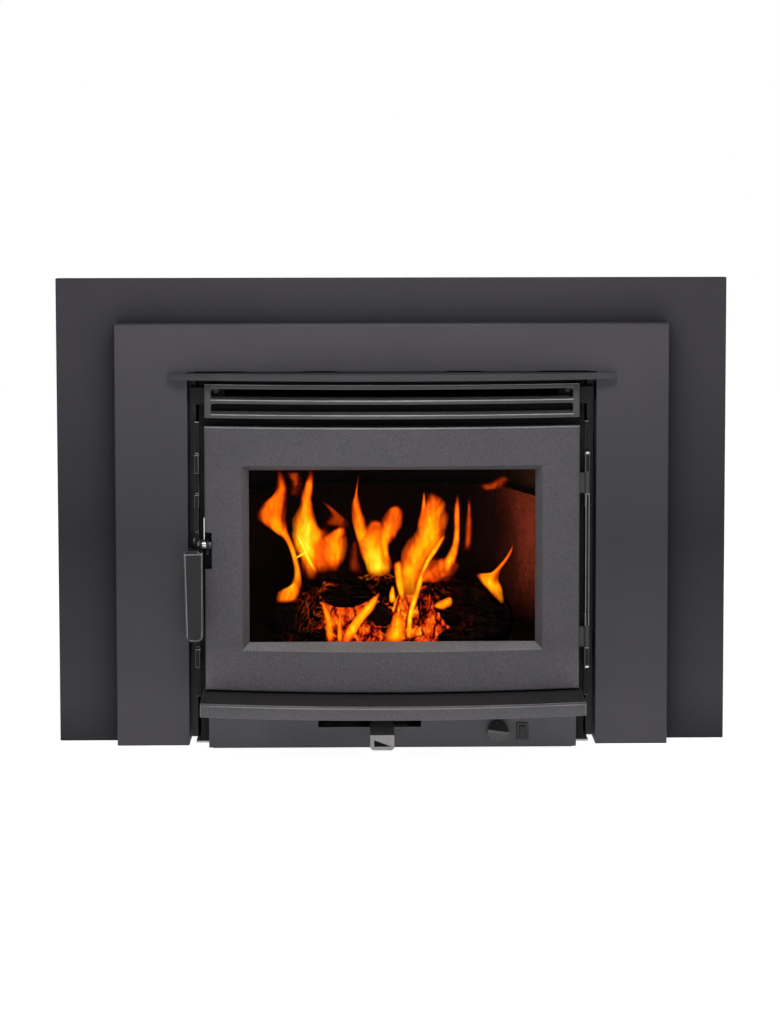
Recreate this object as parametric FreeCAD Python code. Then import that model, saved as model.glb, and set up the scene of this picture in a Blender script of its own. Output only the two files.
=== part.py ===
import FreeCAD, Part
import math
import os

# Wood fireplace insert with a two-step surround, bowed cast door and blower.
# Millimetres. X runs to the viewer's right, Y goes back into the fireplace, Z is up.
# The origin is on the hearth, midway across, in the plane of the fireplace facing.

V = FreeCAD.Vector
os.makedirs("parts", exist_ok=True)

# Surround panels
surround_reveal = 95.5
surround_rise = 71.0
surround_depth = 22.0
surround_hem = 14.0
trim_face = 114.5
trim_rise = 75.5
trim_depth = 57.0
trim_overlap = 60.0
opening_play = 0.5
opening_head_play = 1.5
sheet = 1.6
panel_bend = 2.5
header_slot_rise = 1.0
header_slot_margin = 12.0
header_slot_long = 80.5
header_slot_between = 90.0
header_slot_short = 53.0
running_gap = 0.3

# Common bow of the door, grille, canopy and ash lip
bow_rise = 26.95

# Door casting
door_width = 594.0
door_bottom = 90.5
door_top = 511.0
door_front = -89.0
door_back = -46.0
door_skin = 8.0
door_rim = 26.0
door_edge_chamfer = 3.0
stile_width = 70.2
lower_rail = 75.5
upper_rail = 70.0
window_side_flare = 0.65
window_end_flare = 0.32
glass_lap = 13.0
glass_thick = 5.0
glass_play = 2.0
tape_thick = 5.0
tape_width = 11.0
frame_land = 14.0
rope_radius = 6.0
rope_inset = 15.0
rope_corner = 24.0
rope_side_play = 0.5
rope_floor_play = 0.3
rope_seat_play = 0.2
rope_face_play = 0.5
clip_length = 34.0
clip_width = 20.0
clip_thick = 2.5
clip_inset = 121.8
clip_head_radius = 4.5
clip_head_thick = 2.6

# Face plate of the firebox
face_margin = 9.0
face_thick = 6.0
face_rise = 74.0
mouth_inset = 35.0
vent_inset = 20.0
vent_sill = 3.0
vent_head = 11.0
intake_inset = 96.0
intake_bottom = 10.0
intake_top = 60.0

# Firebox, jacket and base pan
shell_taper = 73.0
shell_bend = 215.0
shell_back = 400.0
shell_bottom = 95.0
roof_gap = 40.0
shell_plate = 5.0
convection_gap = 29.0
rear_gap = 30.0
rear_corner_gap = 23.0
bend_gap = 15.0
jacket_front = -10.0
jacket_flange = 9.0
pan_thick = 3.0

# Refractory and smoke path
brick_thick = 30.0
brick_height = 230.0
brick_joint = 1.0
floor_columns = 5
floor_rows = 4
channel_size = 25.0
channel_drop = 65.0
channel_length = 208.0
tube_radius = 11.0
tube_wall = 1.6
tube_rows = (25.0, 92.0, 159.0)
board_thick = 20.0
board_front = 30.0
board_play = 2.0

# Flue collar
flue_y = 200.0
flue_radius = 76.2
collar_wall = 4.8
flue_ledge = 4.0
collar_rise = 40.0
collar_flange_half = 84.0
collar_flange_thick = 6.0
collar_bolt_circle = 95.0
collar_bolt_head = 6.5
collar_bolt_head_thick = 5.5
jacket_hole_play = 4.0

# Canopy, grille and their brackets
canopy_lap = 28.5
canopy_depth = 10.0
canopy_front = -104.0
canopy_sheet = 2.0
canopy_wing_back = -58.5
canopy_neck_play = 5.5
canopy_upstand = 40.0
canopy_upstand_wing = 24.0
grille_inset = 1.0
grille_gap = 13.5
grille_height = 53.5
grille_front = -89.0
grille_depth = 10.0
grille_stile = 10.4
grille_slot_height = 11.9
grille_bar_height = 11.2
grille_bar_face = 5.4
bracket_front = -52.0
bracket_sheet = 2.0
bracket_drop = 6.0
bracket_height = 27.0
bracket_reach = 5.0
grille_screw_inset = 14.0
grille_screw_drop = 19.0
grille_screw_radius = 4.4
grille_screw_head = 2.5

# Hinge columns and pins
column_play = 0.2
hinge_y = -56.0
column_half_thick = 3.1
column_below = 14.5
column_above = 6.0
column_front = -62.0
column_set_back = -45.0
column_back = 15.0
latch_relief = -54.5
knuckle_radius = 5.0
pin_radius = 3.0
pin_play = 0.05
pin_head_radius = 4.6
pin_head_thick = 3.0
ear_height = 33.0
ear_play = 0.3
ear_clear = 3.0
ear_root = 2.0
upper_ear_drop = 91.7
lower_ear_rise = 82.5
outer_lug = 30.0
inner_lug = 19.5
ear_arm_front = -60.0
ear_arm_back = -52.0

# Latch and handle
pivot_y = -66.0
pivot_rise = 233.0
bolt_radius = 4.0
bolt_play = 0.05
notch_width = 11.5
notch_below = 39.0
notch_above = 19.2
notch_floor = -54.0
ear_plate_inset = 3.0
ear_plate_thick = 4.0
ear_plate_round = 8.0
bush_radius = 6.0
nut_radius = 6.0
nut_thick = 3.5
end_play = 0.2
lever_gap = 3.0
lever_thick = 4.0
lever_hub = 9.0
lever_tail = -41.0
finger_thick = 4.0
finger_rise = 0.4
hook_drop = 11.0
hook_web = 6.0
hook_heel = 4.0
hook_toe = 3.0
arm_margin = 1.0
bolt_head_radius = 7.0
bolt_head_thick = 3.5
grip_gap = 1.0
grip_width = 30.0
grip_drop = 8.5
grip_length = 141.3
grip_front = -95.0
grip_thick = 9.0
grip_corner = 9.0
grip_taper = 3.5
grip_chamfer = 2.0
grip_cap_drop = 6.5
grip_cap_height = 13.5
grip_cap_back = -62.0
keeper_y = -49.0
keeper_rise = 4.0
keeper_radius = 3.0
keeper_gap = 1.8
keeper_head = 6.0
keeper_head_thick = 3.0
spring_thick = 1.2
spring_width = 6.0
spring_rise = 7.5
spring_length = 35.0
spring_front = -60.0

# Ash lip and base fascia
lip_margin = 3.0
lip_front = -175.0
lip_gap = 2.5
lip_thick = 21.0
lip_skin = 8.0
lip_rib = 6.0
lip_rib_bays = 5
lip_edge_chamfer = 3.0
fascia_inset = 9.0
fascia_front = -75.0
fascia_sheet = 2.0
fascia_flange = 13.0
fascia_corner_x = 7.0
fascia_corner_z = 3.0
slot_left = -118.0
slot_right = 45.0
slot_bottom = 33.0
slot_top = 46.0

# Air control
strap_left = -36.0
strap_right = 1.5
strap_thick = 3.0
strap_top = 38.0
tab_front = -149.0
tab_bottom = 14.0
tab_corner = 4.0
riser_front = -14.0
damper_thick = 2.6
damper_bottom = 55.0
damper_half_depth = 26.0
damper_left = -80.0
damper_right = 45.0
damper_port_width = 18.0
damper_port_depth = 30.0
damper_tongue = 20.0
guide_left = -165.0
guide_right = 95.0
guide_width = 10.0
guide_bottom = 52.0
guide_play = 0.4
guide_overlap = 4.0
duct_left = -120.0
duct_right = 80.0
duct_half_depth = 30.0
duct_bottom = 58.5

# Fan control on the fascia
knob_inset = 124.5
knob_z = 28.0
knob_radius = 16.5
knob_height = 18.0
knob_stand_off = 0.5
knob_ridge = 4.0
knob_slope = 9.0
knob_turn = 7.0
knob_shaft_radius = 3.0
knob_shaft_play = 0.05
knob_shaft_back = -56.0
control_half = 15.0
control_depth = 20.0
control_bush_radius = 5.0
fascia_hole_play = 0.3
switch_inset = 85.5
switch_z = 25.8
switch_width = 19.0
switch_height = 27.6
switch_bezel_thick = 2.0
switch_wall = 2.6
switch_depth = 18.0
switch_play = 0.4
rocker_rise = 2.2
trunnion_radius = 1.5
trunnion_play = 0.1
trunnion_length = 1.6
rocker_dip = 1.6
rocker_taper = 2.0
rocker_pivot_depth = 5.0
bezel_round = 0.8

# Blower under the firebox floor
fan_y = 130.0
fan_z = 48.0
fan_radius = 31.0
fan_inner_radius = 24.0
fan_blades = 10
fan_sides = 20
motor_bell_sides = 12
fan_blade_thick = 1.2
fan_blade_angle = 30.0
fan_blade_inset = 0.5
fan_disc_thick = 2.5
fan_hub_radius = 9.0
fan_hub_length = 14.0
fan_inner_end = 62.0
fan_outer_end = 150.0
fan_shaft_radius = 4.0
fan_shaft_half = 168.0
fan_fit = 0.05
scroll_radius = 41.0
scroll_wall = 1.6
scroll_end_gap = 7.0
scroll_prop_half = 8.0
scroll_spout = 62.0
scroll_spout_height = 34.0
motor_core_half = 30.0
motor_half = 42.0
motor_bell_radius = 14.0
motor_bell = 8.0
cradle_half = 30.0
cradle_wall = 4.0
cradle_base = 96.0
saddle_half = 23.0
sensor_inset = 80.0
sensor_y = 60.0
sensor_radius = 12.0
sensor_thick = 9.0
sensor_tab_half = 3.0
sensor_tab_thick = 2.0
sensor_tab_drop = 7.0
sensor_tab_spread = 12.0

# Cord inlet and surround brackets
inlet_y = 60.0
inlet_z = 28.0
inlet_radius = 8.0
inlet_flange_radius = 11.5
inlet_flange_thick = 3.0
inlet_bore = 4.5
inlet_depth = 5.0
strap_heights = (150.0, 470.0)
strap_height = 46.0
strap_sheet = 2.0
strap_leg = 42.0
strap_reach = 44.0

# Sizes that follow from the ones above
door_half = door_width / 2
bow_radius = (door_half ** 2 + bow_rise ** 2) / (2 * bow_rise)
window_width = door_width - 2 * stile_width
window_bottom = door_bottom + lower_rail
window_top = door_top - upper_rail
face_front = door_back + rope_radius - rope_floor_play + rope_face_play
face_back = face_front + face_thick
face_half = door_half + face_margin
face_top = door_top + face_rise
door_mouth_width = door_width - 2 * mouth_inset
door_mouth_bottom = door_bottom + mouth_inset
door_mouth_top = door_top - mouth_inset
hinge_x = face_half + column_play + column_half_thick
column_bottom = door_bottom - column_below
column_top = door_top + column_above
upper_ear_middle = door_top - upper_ear_drop
lower_ear_middle = door_bottom + lower_ear_rise
jacket_half = hinge_x + column_half_thick + sheet
shell_half = jacket_half - convection_gap
shell_rear_half = shell_half - shell_taper
sensor_x = shell_half - sensor_inset
shell_top = face_top - roof_gap
jacket_rear_half = shell_rear_half + rear_corner_gap
jacket_bend = shell_bend + bend_gap
jacket_back = shell_back + rear_gap
channel_bottom = shell_top - channel_drop - channel_size
vent_width = 2 * (shell_half - vent_inset)
vent_bottom = shell_top + vent_sill
vent_top = face_top - vent_head
intake_width = 2 * (face_half - intake_inset)
collar_top = face_top + collar_rise
canopy_top = face_top + canopy_depth
opening_width = 2 * (jacket_half + jacket_flange + opening_play)
opening_top = canopy_top + opening_head_play
trim_width = opening_width + 2 * trim_face
trim_height = opening_top + trim_rise
surround_width = trim_width + 2 * surround_reveal
surround_height = trim_height + surround_rise
canopy_width = opening_width + 2 * canopy_lap
canopy_neck_half = opening_width / 2 - canopy_neck_play
grille_half = door_half - grille_inset
grille_bottom = door_top + grille_gap
grille_top = grille_bottom + grille_height
grille_back = bracket_front
bracket_outer = jacket_half + bracket_reach
bracket_top = grille_top - bracket_drop
bracket_bottom = bracket_top - bracket_height
grille_screw_x = vent_width / 2 + grille_screw_inset
grille_screw_z = face_top - grille_screw_drop
pivot_z = door_bottom + pivot_rise
notch_bottom = pivot_z - notch_below
notch_top = pivot_z + notch_above
ear_plate_left = -door_half + ear_plate_inset
ear_plate_right = ear_plate_left + ear_plate_thick
lever_right = -door_half - lever_gap
lever_left = lever_right - lever_thick
finger_top = pivot_z + finger_rise
grip_right = -door_half - grip_gap
grip_left = grip_right - grip_width
grip_top = pivot_z - grip_drop
grip_bottom = grip_top - grip_length
grip_cap_top = pivot_z - grip_cap_drop
grip_cap_bottom = grip_cap_top - grip_cap_height
keeper_z = pivot_z + keeper_rise
keeper_reach = door_half + keeper_gap
spring_bottom = pivot_z + spring_rise
spring_top = spring_bottom + spring_length
lip_half = door_half + lip_margin
lip_top = door_bottom - lip_gap
lip_bottom = lip_top - lip_thick
fascia_half = lip_half - fascia_inset
fascia_back = fascia_front + fascia_sheet
knob_x = fascia_half - knob_inset
switch_x = fascia_half - switch_inset


def box(x0, x1, y0, y1, z0, z1):
    return Part.makeBox(x1 - x0, y1 - y0, z1 - z0, V(x0, y0, z0))


def wide(half, y0, y1, z0, z1):
    return box(-half, half, y0, y1, z0, z1)


def rod_x(x0, x1, y, z, radius):
    return Part.makeCylinder(radius, x1 - x0, V(x0, y, z), V(1, 0, 0))


def rod_y(x, y0, y1, z, radius):
    return Part.makeCylinder(radius, y1 - y0, V(x, y0, z), V(0, 1, 0))


def rod_z(x, y, z0, z1, radius):
    return Part.makeCylinder(radius, z1 - z0, V(x, y, z0), V(0, 0, 1))


def mirrored(shape):
    return shape.mirror(V(0, 0, 0), V(1, 0, 0))


def pair(shape):
    return [shape, mirrored(shape)]


def plan(points, z0, z1):
    corners = [V(x, y, z0) for x, y in points]
    face = Part.Face(Part.makePolygon(corners + corners[:1]))
    return face.extrude(V(0, 0, z1 - z0))


def profile_x(points, x0, x1):
    corners = [V(x0, y, z) for y, z in points]
    face = Part.Face(Part.makePolygon(corners + corners[:1]))
    return face.extrude(V(x1 - x0, 0, 0))


def polygon(a, b, radius, sides=6):
    turns = [2 * math.pi * index / sides for index in range(sides)]
    return [(a + radius * math.cos(turn), b + radius * math.sin(turn)) for turn in turns]


def hexagon_y(x, y0, y1, z, radius):
    corners = [V(a, y0, b) for a, b in polygon(x, z, radius)]
    return Part.Face(Part.makePolygon(corners + corners[:1])).extrude(V(0, y1 - y0, 0))


def front_rectangle(half, y, z0, z1):
    corners = [V(-half, y, z0), V(half, y, z0), V(half, y, z1), V(-half, y, z1)]
    return Part.makePolygon(corners + corners[:1])


def bowed(half, front, back, z0, z1):
    drum = rod_z(0, front + bow_radius, z0, z1, bow_radius)
    return wide(half, front - 1, back, z0, z1).common(drum)


def rounded_block(half, y0, y1, z0, z1, radius):
    block = wide(half, y0, y1, z0, z1)
    corners = [e for e in block.Edges if abs(e.tangentAt(0).y) > 0.99]
    return block.makeFillet(radius, corners)


def round_edges(shape, radius, wanted):
    return shape.makeFillet(radius, [e for e in shape.Edges if wanted(e)])


def save(name, *solids):
    shape = solids[0] if len(solids) == 1 else Part.makeCompound(list(solids))
    shape.exportStep("parts/" + name + ".step")


def hearth_plan(half, rear_half, front, bend, back, inset=0.0):
    turn = math.atan2(half - rear_half, back - bend)
    side = half - inset
    corner = bend - inset * math.tan(turn / 2)
    rear = rear_half - inset * math.tan((math.pi / 2 - turn) / 2)
    right = [(side, front), (side, corner), (rear, back - inset)]
    return [(-x, y) for x, y in right] + right[::-1]


# Outer surround: a shallow folded tray that covers the masonry opening
def outer_surround():
    half = surround_width / 2
    tray = wide(half, -surround_depth, 0, 0, surround_height)
    tray = round_edges(tray, panel_bend, lambda e: e.BoundBox.YMax < -surround_depth + 0.01
                       and e.BoundBox.ZMax > 1)
    hollow = wide(half - sheet, -surround_depth + sheet, 1, -1, surround_height - sheet)
    tray = tray.cut(hollow)
    for hem in pair(box(half - surround_hem, half - sheet, -sheet, 0, 0, surround_height - sheet)):
        tray = tray.fuse(hem)
    tray = tray.fuse(wide(half - surround_hem, -sheet, 0, surround_height - surround_hem,
                          surround_height - sheet))
    gap = wide(trim_width / 2 - trim_overlap, -surround_depth - 1, 1, -1, trim_height - trim_overlap)
    return tray.cut(gap).removeSplitter()


# Inner surround: the deeper box trim whose returns line the opening
def inner_surround():
    half = trim_width / 2
    mouth = opening_width / 2
    tray = wide(half, -trim_depth, -surround_depth, 0, trim_height)
    tray = round_edges(tray, panel_bend, lambda e: e.BoundBox.YMax < -trim_depth + 0.01
                       and e.BoundBox.ZMax > 1)
    hollow = wide(half - sheet, -trim_depth + sheet, 0, -1, trim_height - sheet)
    tray = tray.cut(hollow)
    liner = wide(mouth + sheet, -trim_depth + sheet, -sheet, 0, opening_top + sheet)
    tray = tray.fuse(liner).cut(wide(mouth, -trim_depth - 1, 1, -1, opening_top))
    outer_far = mouth - header_slot_margin
    outer_near = outer_far - header_slot_long
    inner_far = outer_near - header_slot_between
    inner_near = inner_far - header_slot_short
    for near, far in ((inner_near, inner_far), (outer_near, outer_far)):
        slot = box(near, far, -trim_depth - 1, 1, opening_top - 1, opening_top + header_slot_rise)
        for cut in pair(slot):
            tray = tray.cut(cut)
    return tray.removeSplitter()


# Straps that hang the surround on the jacket sides
def surround_straps():
    edge = trim_width / 2 - trim_overlap
    step = edge + strap_sheet
    rear = -surround_depth + sheet
    points = [(jacket_half, strap_leg), (jacket_half + strap_sheet, strap_leg),
              (jacket_half + strap_sheet, strap_sheet), (step + strap_sheet, strap_sheet),
              (step + strap_sheet, rear + strap_sheet), (step + strap_reach, rear + strap_sheet),
              (step + strap_reach, rear), (step, rear), (step, 0), (jacket_half, 0)]
    straps = []
    for middle in strap_heights:
        straps += pair(plan(points, middle - strap_height / 2, middle + strap_height / 2))
    return straps


# Canopy: a thin bowed hood whose ends lap the trim and whose back turns up behind it
def canopy():
    low = canopy_top - canopy_depth
    half = canopy_width / 2
    tray = bowed(half, canopy_front, face_back, low, canopy_top)
    hollow = bowed(half - canopy_sheet, canopy_front + canopy_sheet, face_back - canopy_sheet,
                   low - 1, canopy_top - canopy_sheet)
    tray = tray.cut(hollow)
    for wing in pair(box(canopy_neck_half, half + 1, canopy_wing_back, 0, low - 1, canopy_top + 1)):
        tray = tray.cut(wing)
    tongue = wide(canopy_neck_half, face_back, canopy_sheet, canopy_top - canopy_sheet, canopy_top)
    upstand = wide(canopy_neck_half + canopy_upstand_wing, 0, canopy_sheet, canopy_top,
                   canopy_top + canopy_upstand)
    return tray.fuse(tongue).fuse(upstand).removeSplitter()


# Louvre grille: three bowed bars with sloped tops between end stiles
def grille():
    frame = bowed(grille_half, grille_front, grille_back, grille_bottom, grille_top)
    behind = bowed(grille_half - grille_stile, grille_front + grille_depth, grille_back + 1,
                   grille_bottom - 1, grille_top + 1)
    frame = frame.cut(behind)
    inner = grille_half - grille_stile
    for index in range(2):
        low = grille_bottom + (index + 1) * grille_bar_height + index * grille_slot_height
        frame = frame.cut(bowed(inner, grille_front - 5, grille_back, low, low + grille_slot_height))
        slope = Part.makeCone(bow_radius + 2 - grille_bar_face, bow_radius - grille_depth + 2, grille_depth,
                              V(0, grille_front + bow_radius, low - grille_bar_face))
        ring = bowed(inner, grille_front - 1, grille_back, low - grille_bar_face, low)
        frame = frame.cut(ring.cut(slope))
    return frame.removeSplitter()


def grille_brackets():
    foot = jacket_front
    inner = grille_half - grille_stile
    front = box(inner, bracket_outer, bracket_front, bracket_front + bracket_sheet,
                bracket_bottom, bracket_top)
    leg = box(bracket_outer - bracket_sheet, bracket_outer, bracket_front, foot,
              bracket_bottom, bracket_top)
    return pair(front.fuse(leg).removeSplitter())


def grille_screws():
    head = hexagon_y(grille_screw_x, face_front - grille_screw_head, face_front, grille_screw_z,
                     grille_screw_radius)
    return pair(head)


# Face plate: the firebox front with the door mouth, the warm-air vent and the intake
def face_plate():
    plate = wide(face_half, face_front, face_back, pan_thick, face_top)
    mouth = rounded_block(door_mouth_width / 2, face_front - 1, face_back + 1,
                          door_mouth_bottom, door_mouth_top, rope_corner)
    vent = wide(vent_width / 2, face_front - 1, face_back + 1, vent_bottom, vent_top)
    intake = wide(intake_width / 2, face_front - 1, face_back + 1, intake_bottom, intake_top)
    return plate.cut(mouth).cut(vent).cut(intake)


# Walls of a hearth plan as separate flat panels with mitred edges
def wall_panels(half, rear_half, front, bend, back, thick, z0, z1):
    outer = hearth_plan(half, rear_half, front, bend, back)
    inner = hearth_plan(half, rear_half, front, bend, back, thick)
    return [plan([outer[k], outer[k + 1], inner[k + 1], inner[k]], z0, z1) for k in range(5)]


# Firebox shell: welded plates, open to the front, with the flue outlet in the roof
def firebox_shell():
    low = shell_bottom + shell_plate
    high = shell_top - shell_plate
    points = hearth_plan(shell_half, shell_rear_half, face_back, shell_bend, shell_back)
    roof = plan(points, high, shell_top)
    roof = roof.cut(rod_z(0, flue_y, high - 1, shell_top + 1, flue_radius - flue_ledge))
    walls = wall_panels(shell_half, shell_rear_half, face_back, shell_bend, shell_back, shell_plate,
                        low, high)
    return [plan(points, shell_bottom, low), roof] + walls


brick_floor = shell_bottom + shell_plate
brick_seat = brick_floor + brick_thick


def floor_bricks():
    bed = plan(hearth_plan(shell_half, shell_rear_half, face_back + brick_joint, shell_bend, shell_back,
                           shell_plate), brick_floor, brick_seat)
    span = 2 * (shell_half - shell_plate)
    reach = shell_back - shell_plate - face_back
    bricks = []
    for column in range(floor_columns):
        for row in range(floor_rows):
            x = -span / 2 + column * span / floor_columns
            y = face_back + row * reach / floor_rows
            brick = box(x + brick_joint / 2, x + span / floor_columns - brick_joint / 2,
                        y + brick_joint, y + reach / floor_rows, brick_floor, brick_seat)
            bricks.append(brick.common(bed))
    return bricks


def wall_bricks(start, end, count, start_trim, end_trim):
    run = V(end[0] - start[0], end[1] - start[1], 0)
    angle = math.degrees(math.atan2(run.y, run.x))
    length = run.Length - start_trim - end_trim
    step = length / count
    bricks = []
    for index in range(count):
        brick = box(start_trim + index * step + brick_joint / 2,
                    start_trim + (index + 1) * step - brick_joint / 2,
                    0, brick_thick, brick_seat, brick_seat + brick_height)
        brick.rotate(V(0, 0, 0), V(0, 0, 1), angle)
        brick.translate(V(start[0], start[1], 0))
        bricks.append(brick)
    return bricks


def brick_walls():
    walls = hearth_plan(shell_half, shell_rear_half, face_back + brick_joint, shell_bend, shell_back,
                        shell_plate)
    turn = math.atan2(shell_half - shell_rear_half, shell_back - shell_bend)
    side_trim = brick_thick * math.tan(turn / 2)
    rear_trim = brick_thick * math.tan((math.pi / 2 - turn) / 2)
    right_front, right_bend, right_rear = walls[5], walls[4], walls[3]
    right = wall_bricks(right_front, right_bend, 2, 0, side_trim)
    right += wall_bricks(right_bend, right_rear, 2, side_trim, rear_trim)
    back = wall_bricks(right_rear, walls[2], 4, rear_trim, rear_trim)
    return right, back


# Side air channels carry the baffle board and feed the secondary air tubes
channel_inner = shell_half - shell_plate - channel_size


def air_channels():
    outer = box(channel_inner, channel_inner + channel_size, face_back + board_play,
                face_back + board_play + channel_length, channel_bottom, channel_bottom + channel_size)
    inner = box(channel_inner + tube_wall, channel_inner + channel_size - tube_wall, face_back,
                face_back + channel_length, channel_bottom + tube_wall,
                channel_bottom + channel_size - tube_wall)
    return pair(outer.cut(inner))


def air_tubes():
    middle = channel_bottom + channel_size / 2
    tubes = []
    for y in tube_rows:
        tube = rod_x(-channel_inner, channel_inner, y, middle, tube_radius)
        tube = tube.cut(rod_x(-channel_inner, channel_inner, y, middle, tube_radius - tube_wall))
        tubes.append(tube)
    return tubes


def baffle_board():
    seat = channel_bottom + channel_size
    points = hearth_plan(shell_half, shell_rear_half, board_front, shell_bend, shell_back,
                         shell_plate + board_play)
    return plan(points, seat, seat + board_thick)


# Flue collar: a ring on a square flange, bolted to the firebox roof
def flue_collar():
    ring = rod_z(0, flue_y, shell_top, collar_top, flue_radius + collar_wall)
    ring = ring.fuse(wide(collar_flange_half, flue_y - collar_flange_half, flue_y + collar_flange_half,
                          shell_top, shell_top + collar_flange_thick))
    ring = ring.cut(rod_z(0, flue_y, shell_top - 1, collar_top + 1, flue_radius))
    return ring.removeSplitter()


def bolt_places():
    angles = [math.radians(45 + 90 * index) for index in range(4)]
    return [(collar_bolt_circle * math.cos(a), flue_y + collar_bolt_circle * math.sin(a)) for a in angles]


def collar_bolts():
    seat = shell_top + collar_flange_thick
    bolts = []
    for x, y in bolt_places():
        head = plan(polygon(x, y, collar_bolt_head), seat, seat + collar_bolt_head_thick)
        bolts.append(head)
    return bolts


# Convection jacket: two sides, two slanted rear corners, a back and a top sheet
def jacket_panels():
    panels = wall_panels(jacket_half, jacket_rear_half, jacket_front, jacket_bend, jacket_back, sheet,
                         pan_thick, face_top)
    flange = box(jacket_half, jacket_half + jacket_flange, jacket_front, jacket_front + sheet, pan_thick,
                 face_top)
    left = panels[0].fuse(mirrored(flange)).removeSplitter()
    hole = rod_x(jacket_half - 2 * sheet, jacket_half + 1, inlet_y, inlet_z, inlet_radius + running_gap)
    right = panels[4].fuse(flange).cut(hole).removeSplitter()
    return left, right, [panels[1], panels[3]], panels[2]


def jacket_top():
    points = hearth_plan(jacket_half, jacket_rear_half, face_back, jacket_bend, jacket_back)
    hole = rod_z(0, flue_y, face_top - 1, face_top + 5, flue_radius + collar_wall + jacket_hole_play)
    return plan(points, face_top, face_top + sheet).cut(hole)


def base_pan():
    points = hearth_plan(jacket_half, jacket_rear_half, face_front, jacket_bend, jacket_back)
    tongue = wide(fascia_half - fascia_sheet, fascia_back, face_front, 0, pan_thick)
    return plan(points, 0, pan_thick).fuse(tongue).removeSplitter()


# Base fascia: folded sheet with the air slot and the fan controls
def base_fascia():
    panel = wide(fascia_half, fascia_front, face_front, 0, lip_bottom)
    hollow = wide(fascia_half - fascia_sheet, fascia_back, face_front + 1, -1, lip_bottom - fascia_sheet)
    panel = panel.cut(hollow)
    panel = panel.cut(wide(fascia_half - fascia_sheet, fascia_back + fascia_flange, face_front + 1,
                           lip_bottom - fascia_sheet - 1, lip_bottom + 1))
    panel = panel.cut(box(slot_left, slot_right, fascia_front - 1, fascia_back + 1, slot_bottom, slot_top))
    panel = panel.cut(rod_y(knob_x, fascia_front - 1, fascia_back + 1, knob_z,
                            control_bush_radius + fascia_hole_play))
    inner_half = switch_width / 2 - switch_bezel_thick
    inner_rise = switch_height / 2 - switch_bezel_thick
    panel = panel.cut(box(switch_x - inner_half, switch_x + inner_half, fascia_front - 1, fascia_back + 1,
                          switch_z - inner_rise, switch_z + inner_rise))
    for sign in (-1, 1):
        triangle = [V(sign * (fascia_half - fascia_corner_x), fascia_front - 1, 0),
                    V(sign * fascia_half, fascia_front - 1, fascia_corner_z),
                    V(sign * (fascia_half + 1), fascia_front - 1, -1),
                    V(sign * (fascia_half - fascia_corner_x), fascia_front - 1, -1)]
        face = Part.Face(Part.makePolygon(triangle + triangle[:1]))
        panel = panel.cut(face.extrude(V(0, fascia_sheet + 1, 0)))
    return panel.removeSplitter()


# Ash lip: a bowed cast shelf, hollow and ribbed below
def ash_lip():
    shelf = bowed(lip_half, lip_front, face_front, lip_bottom, lip_top)
    shelf = shelf.makeChamfer(lip_edge_chamfer, [e for e in shelf.Edges if e.BoundBox.ZMin > lip_top - 0.01
                                                 and e.BoundBox.YMin < lip_front + 1 and e.Length > lip_half])
    hollow = bowed(lip_half - lip_skin, lip_front + lip_skin, face_front - lip_skin,
                   lip_bottom - 1, lip_top - lip_skin)
    spacing = 2 * lip_half / lip_rib_bays
    for index in range(1, lip_rib_bays):
        middle = index * spacing - lip_half
        hollow = hollow.cut(box(middle - lip_rib / 2, middle + lip_rib / 2, lip_front, face_front,
                                lip_bottom - 1, lip_top))
    return shelf.cut(hollow)


# Hinge columns: side plates with the fixed hinge knuckles
def ear_spans():
    return [(middle - ear_height / 2, middle + ear_height / 2)
            for middle in (upper_ear_middle, lower_ear_middle)]


def lug_spans():
    (upper_low, upper_high), (lower_low, lower_high) = ear_spans()
    return [(upper_high + ear_play, upper_high + ear_play + outer_lug),
            (upper_low - ear_play - inner_lug, upper_low - ear_play),
            (lower_high + ear_play, lower_high + ear_play + inner_lug),
            (lower_low - ear_play - outer_lug, lower_low - ear_play)]


def hinge_column():
    lugs = lug_spans()
    top, bottom = lugs[0][1], lugs[3][0]
    points = [(column_back, column_bottom), (column_back, column_top), (column_set_back, column_top),
              (column_set_back, top), (column_front, top), (column_front, bottom),
              (column_set_back, bottom), (column_set_back, column_bottom)]
    plate = profile_x(points, hinge_x - column_half_thick, hinge_x + column_half_thick)
    for low, high in ear_spans():
        plate = plate.cut(box(hinge_x - knuckle_radius, hinge_x + knuckle_radius, column_front - 1,
                              hinge_y + knuckle_radius + ear_clear, low - ear_play, high + ear_play))
    for low, high in lugs:
        plate = plate.fuse(rod_z(hinge_x, hinge_y, low, high, knuckle_radius))
    return plate.removeSplitter()


# The same casting stands on both sides: drilled for the pins on the right, for the keeper on the left
def hinge_columns():
    left = mirrored(hinge_column())
    right = hinge_column()
    for low, high in lug_spans():
        right = right.cut(rod_z(hinge_x, hinge_y, low - 1, high + 1, pin_radius))
    rivet = rod_x(-hinge_x - column_half_thick - 1, -hinge_x + column_half_thick + 1, keeper_y, keeper_z,
                  keeper_radius)
    relief = box(-hinge_x - column_half_thick, -hinge_x + column_half_thick, column_front, latch_relief,
                 notch_bottom, notch_top)
    return left.cut(rivet).cut(relief), right


def hinge_pins():
    lugs = lug_spans()
    pins = []
    upper_seat = lugs[0][1]
    lower_seat = lugs[3][0] - pin_head_thick
    for upper, lower, seat in ((lugs[0], lugs[1], upper_seat), (lugs[2], lugs[3], lower_seat)):
        pin = rod_z(hinge_x, hinge_y, lower[0], upper[1], pin_radius)
        head = rod_z(hinge_x, hinge_y, seat, seat + pin_head_thick, pin_head_radius)
        pins.append(pin.fuse(head).removeSplitter())
    return pins


def latch_keeper():
    outside = -hinge_x - column_half_thick
    pin = rod_x(outside, -keeper_reach, keeper_y, keeper_z, keeper_radius)
    head = profile_x(polygon(keeper_y, keeper_z, keeper_head), outside - keeper_head_thick, outside)
    return pin.fuse(head).removeSplitter()


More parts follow.
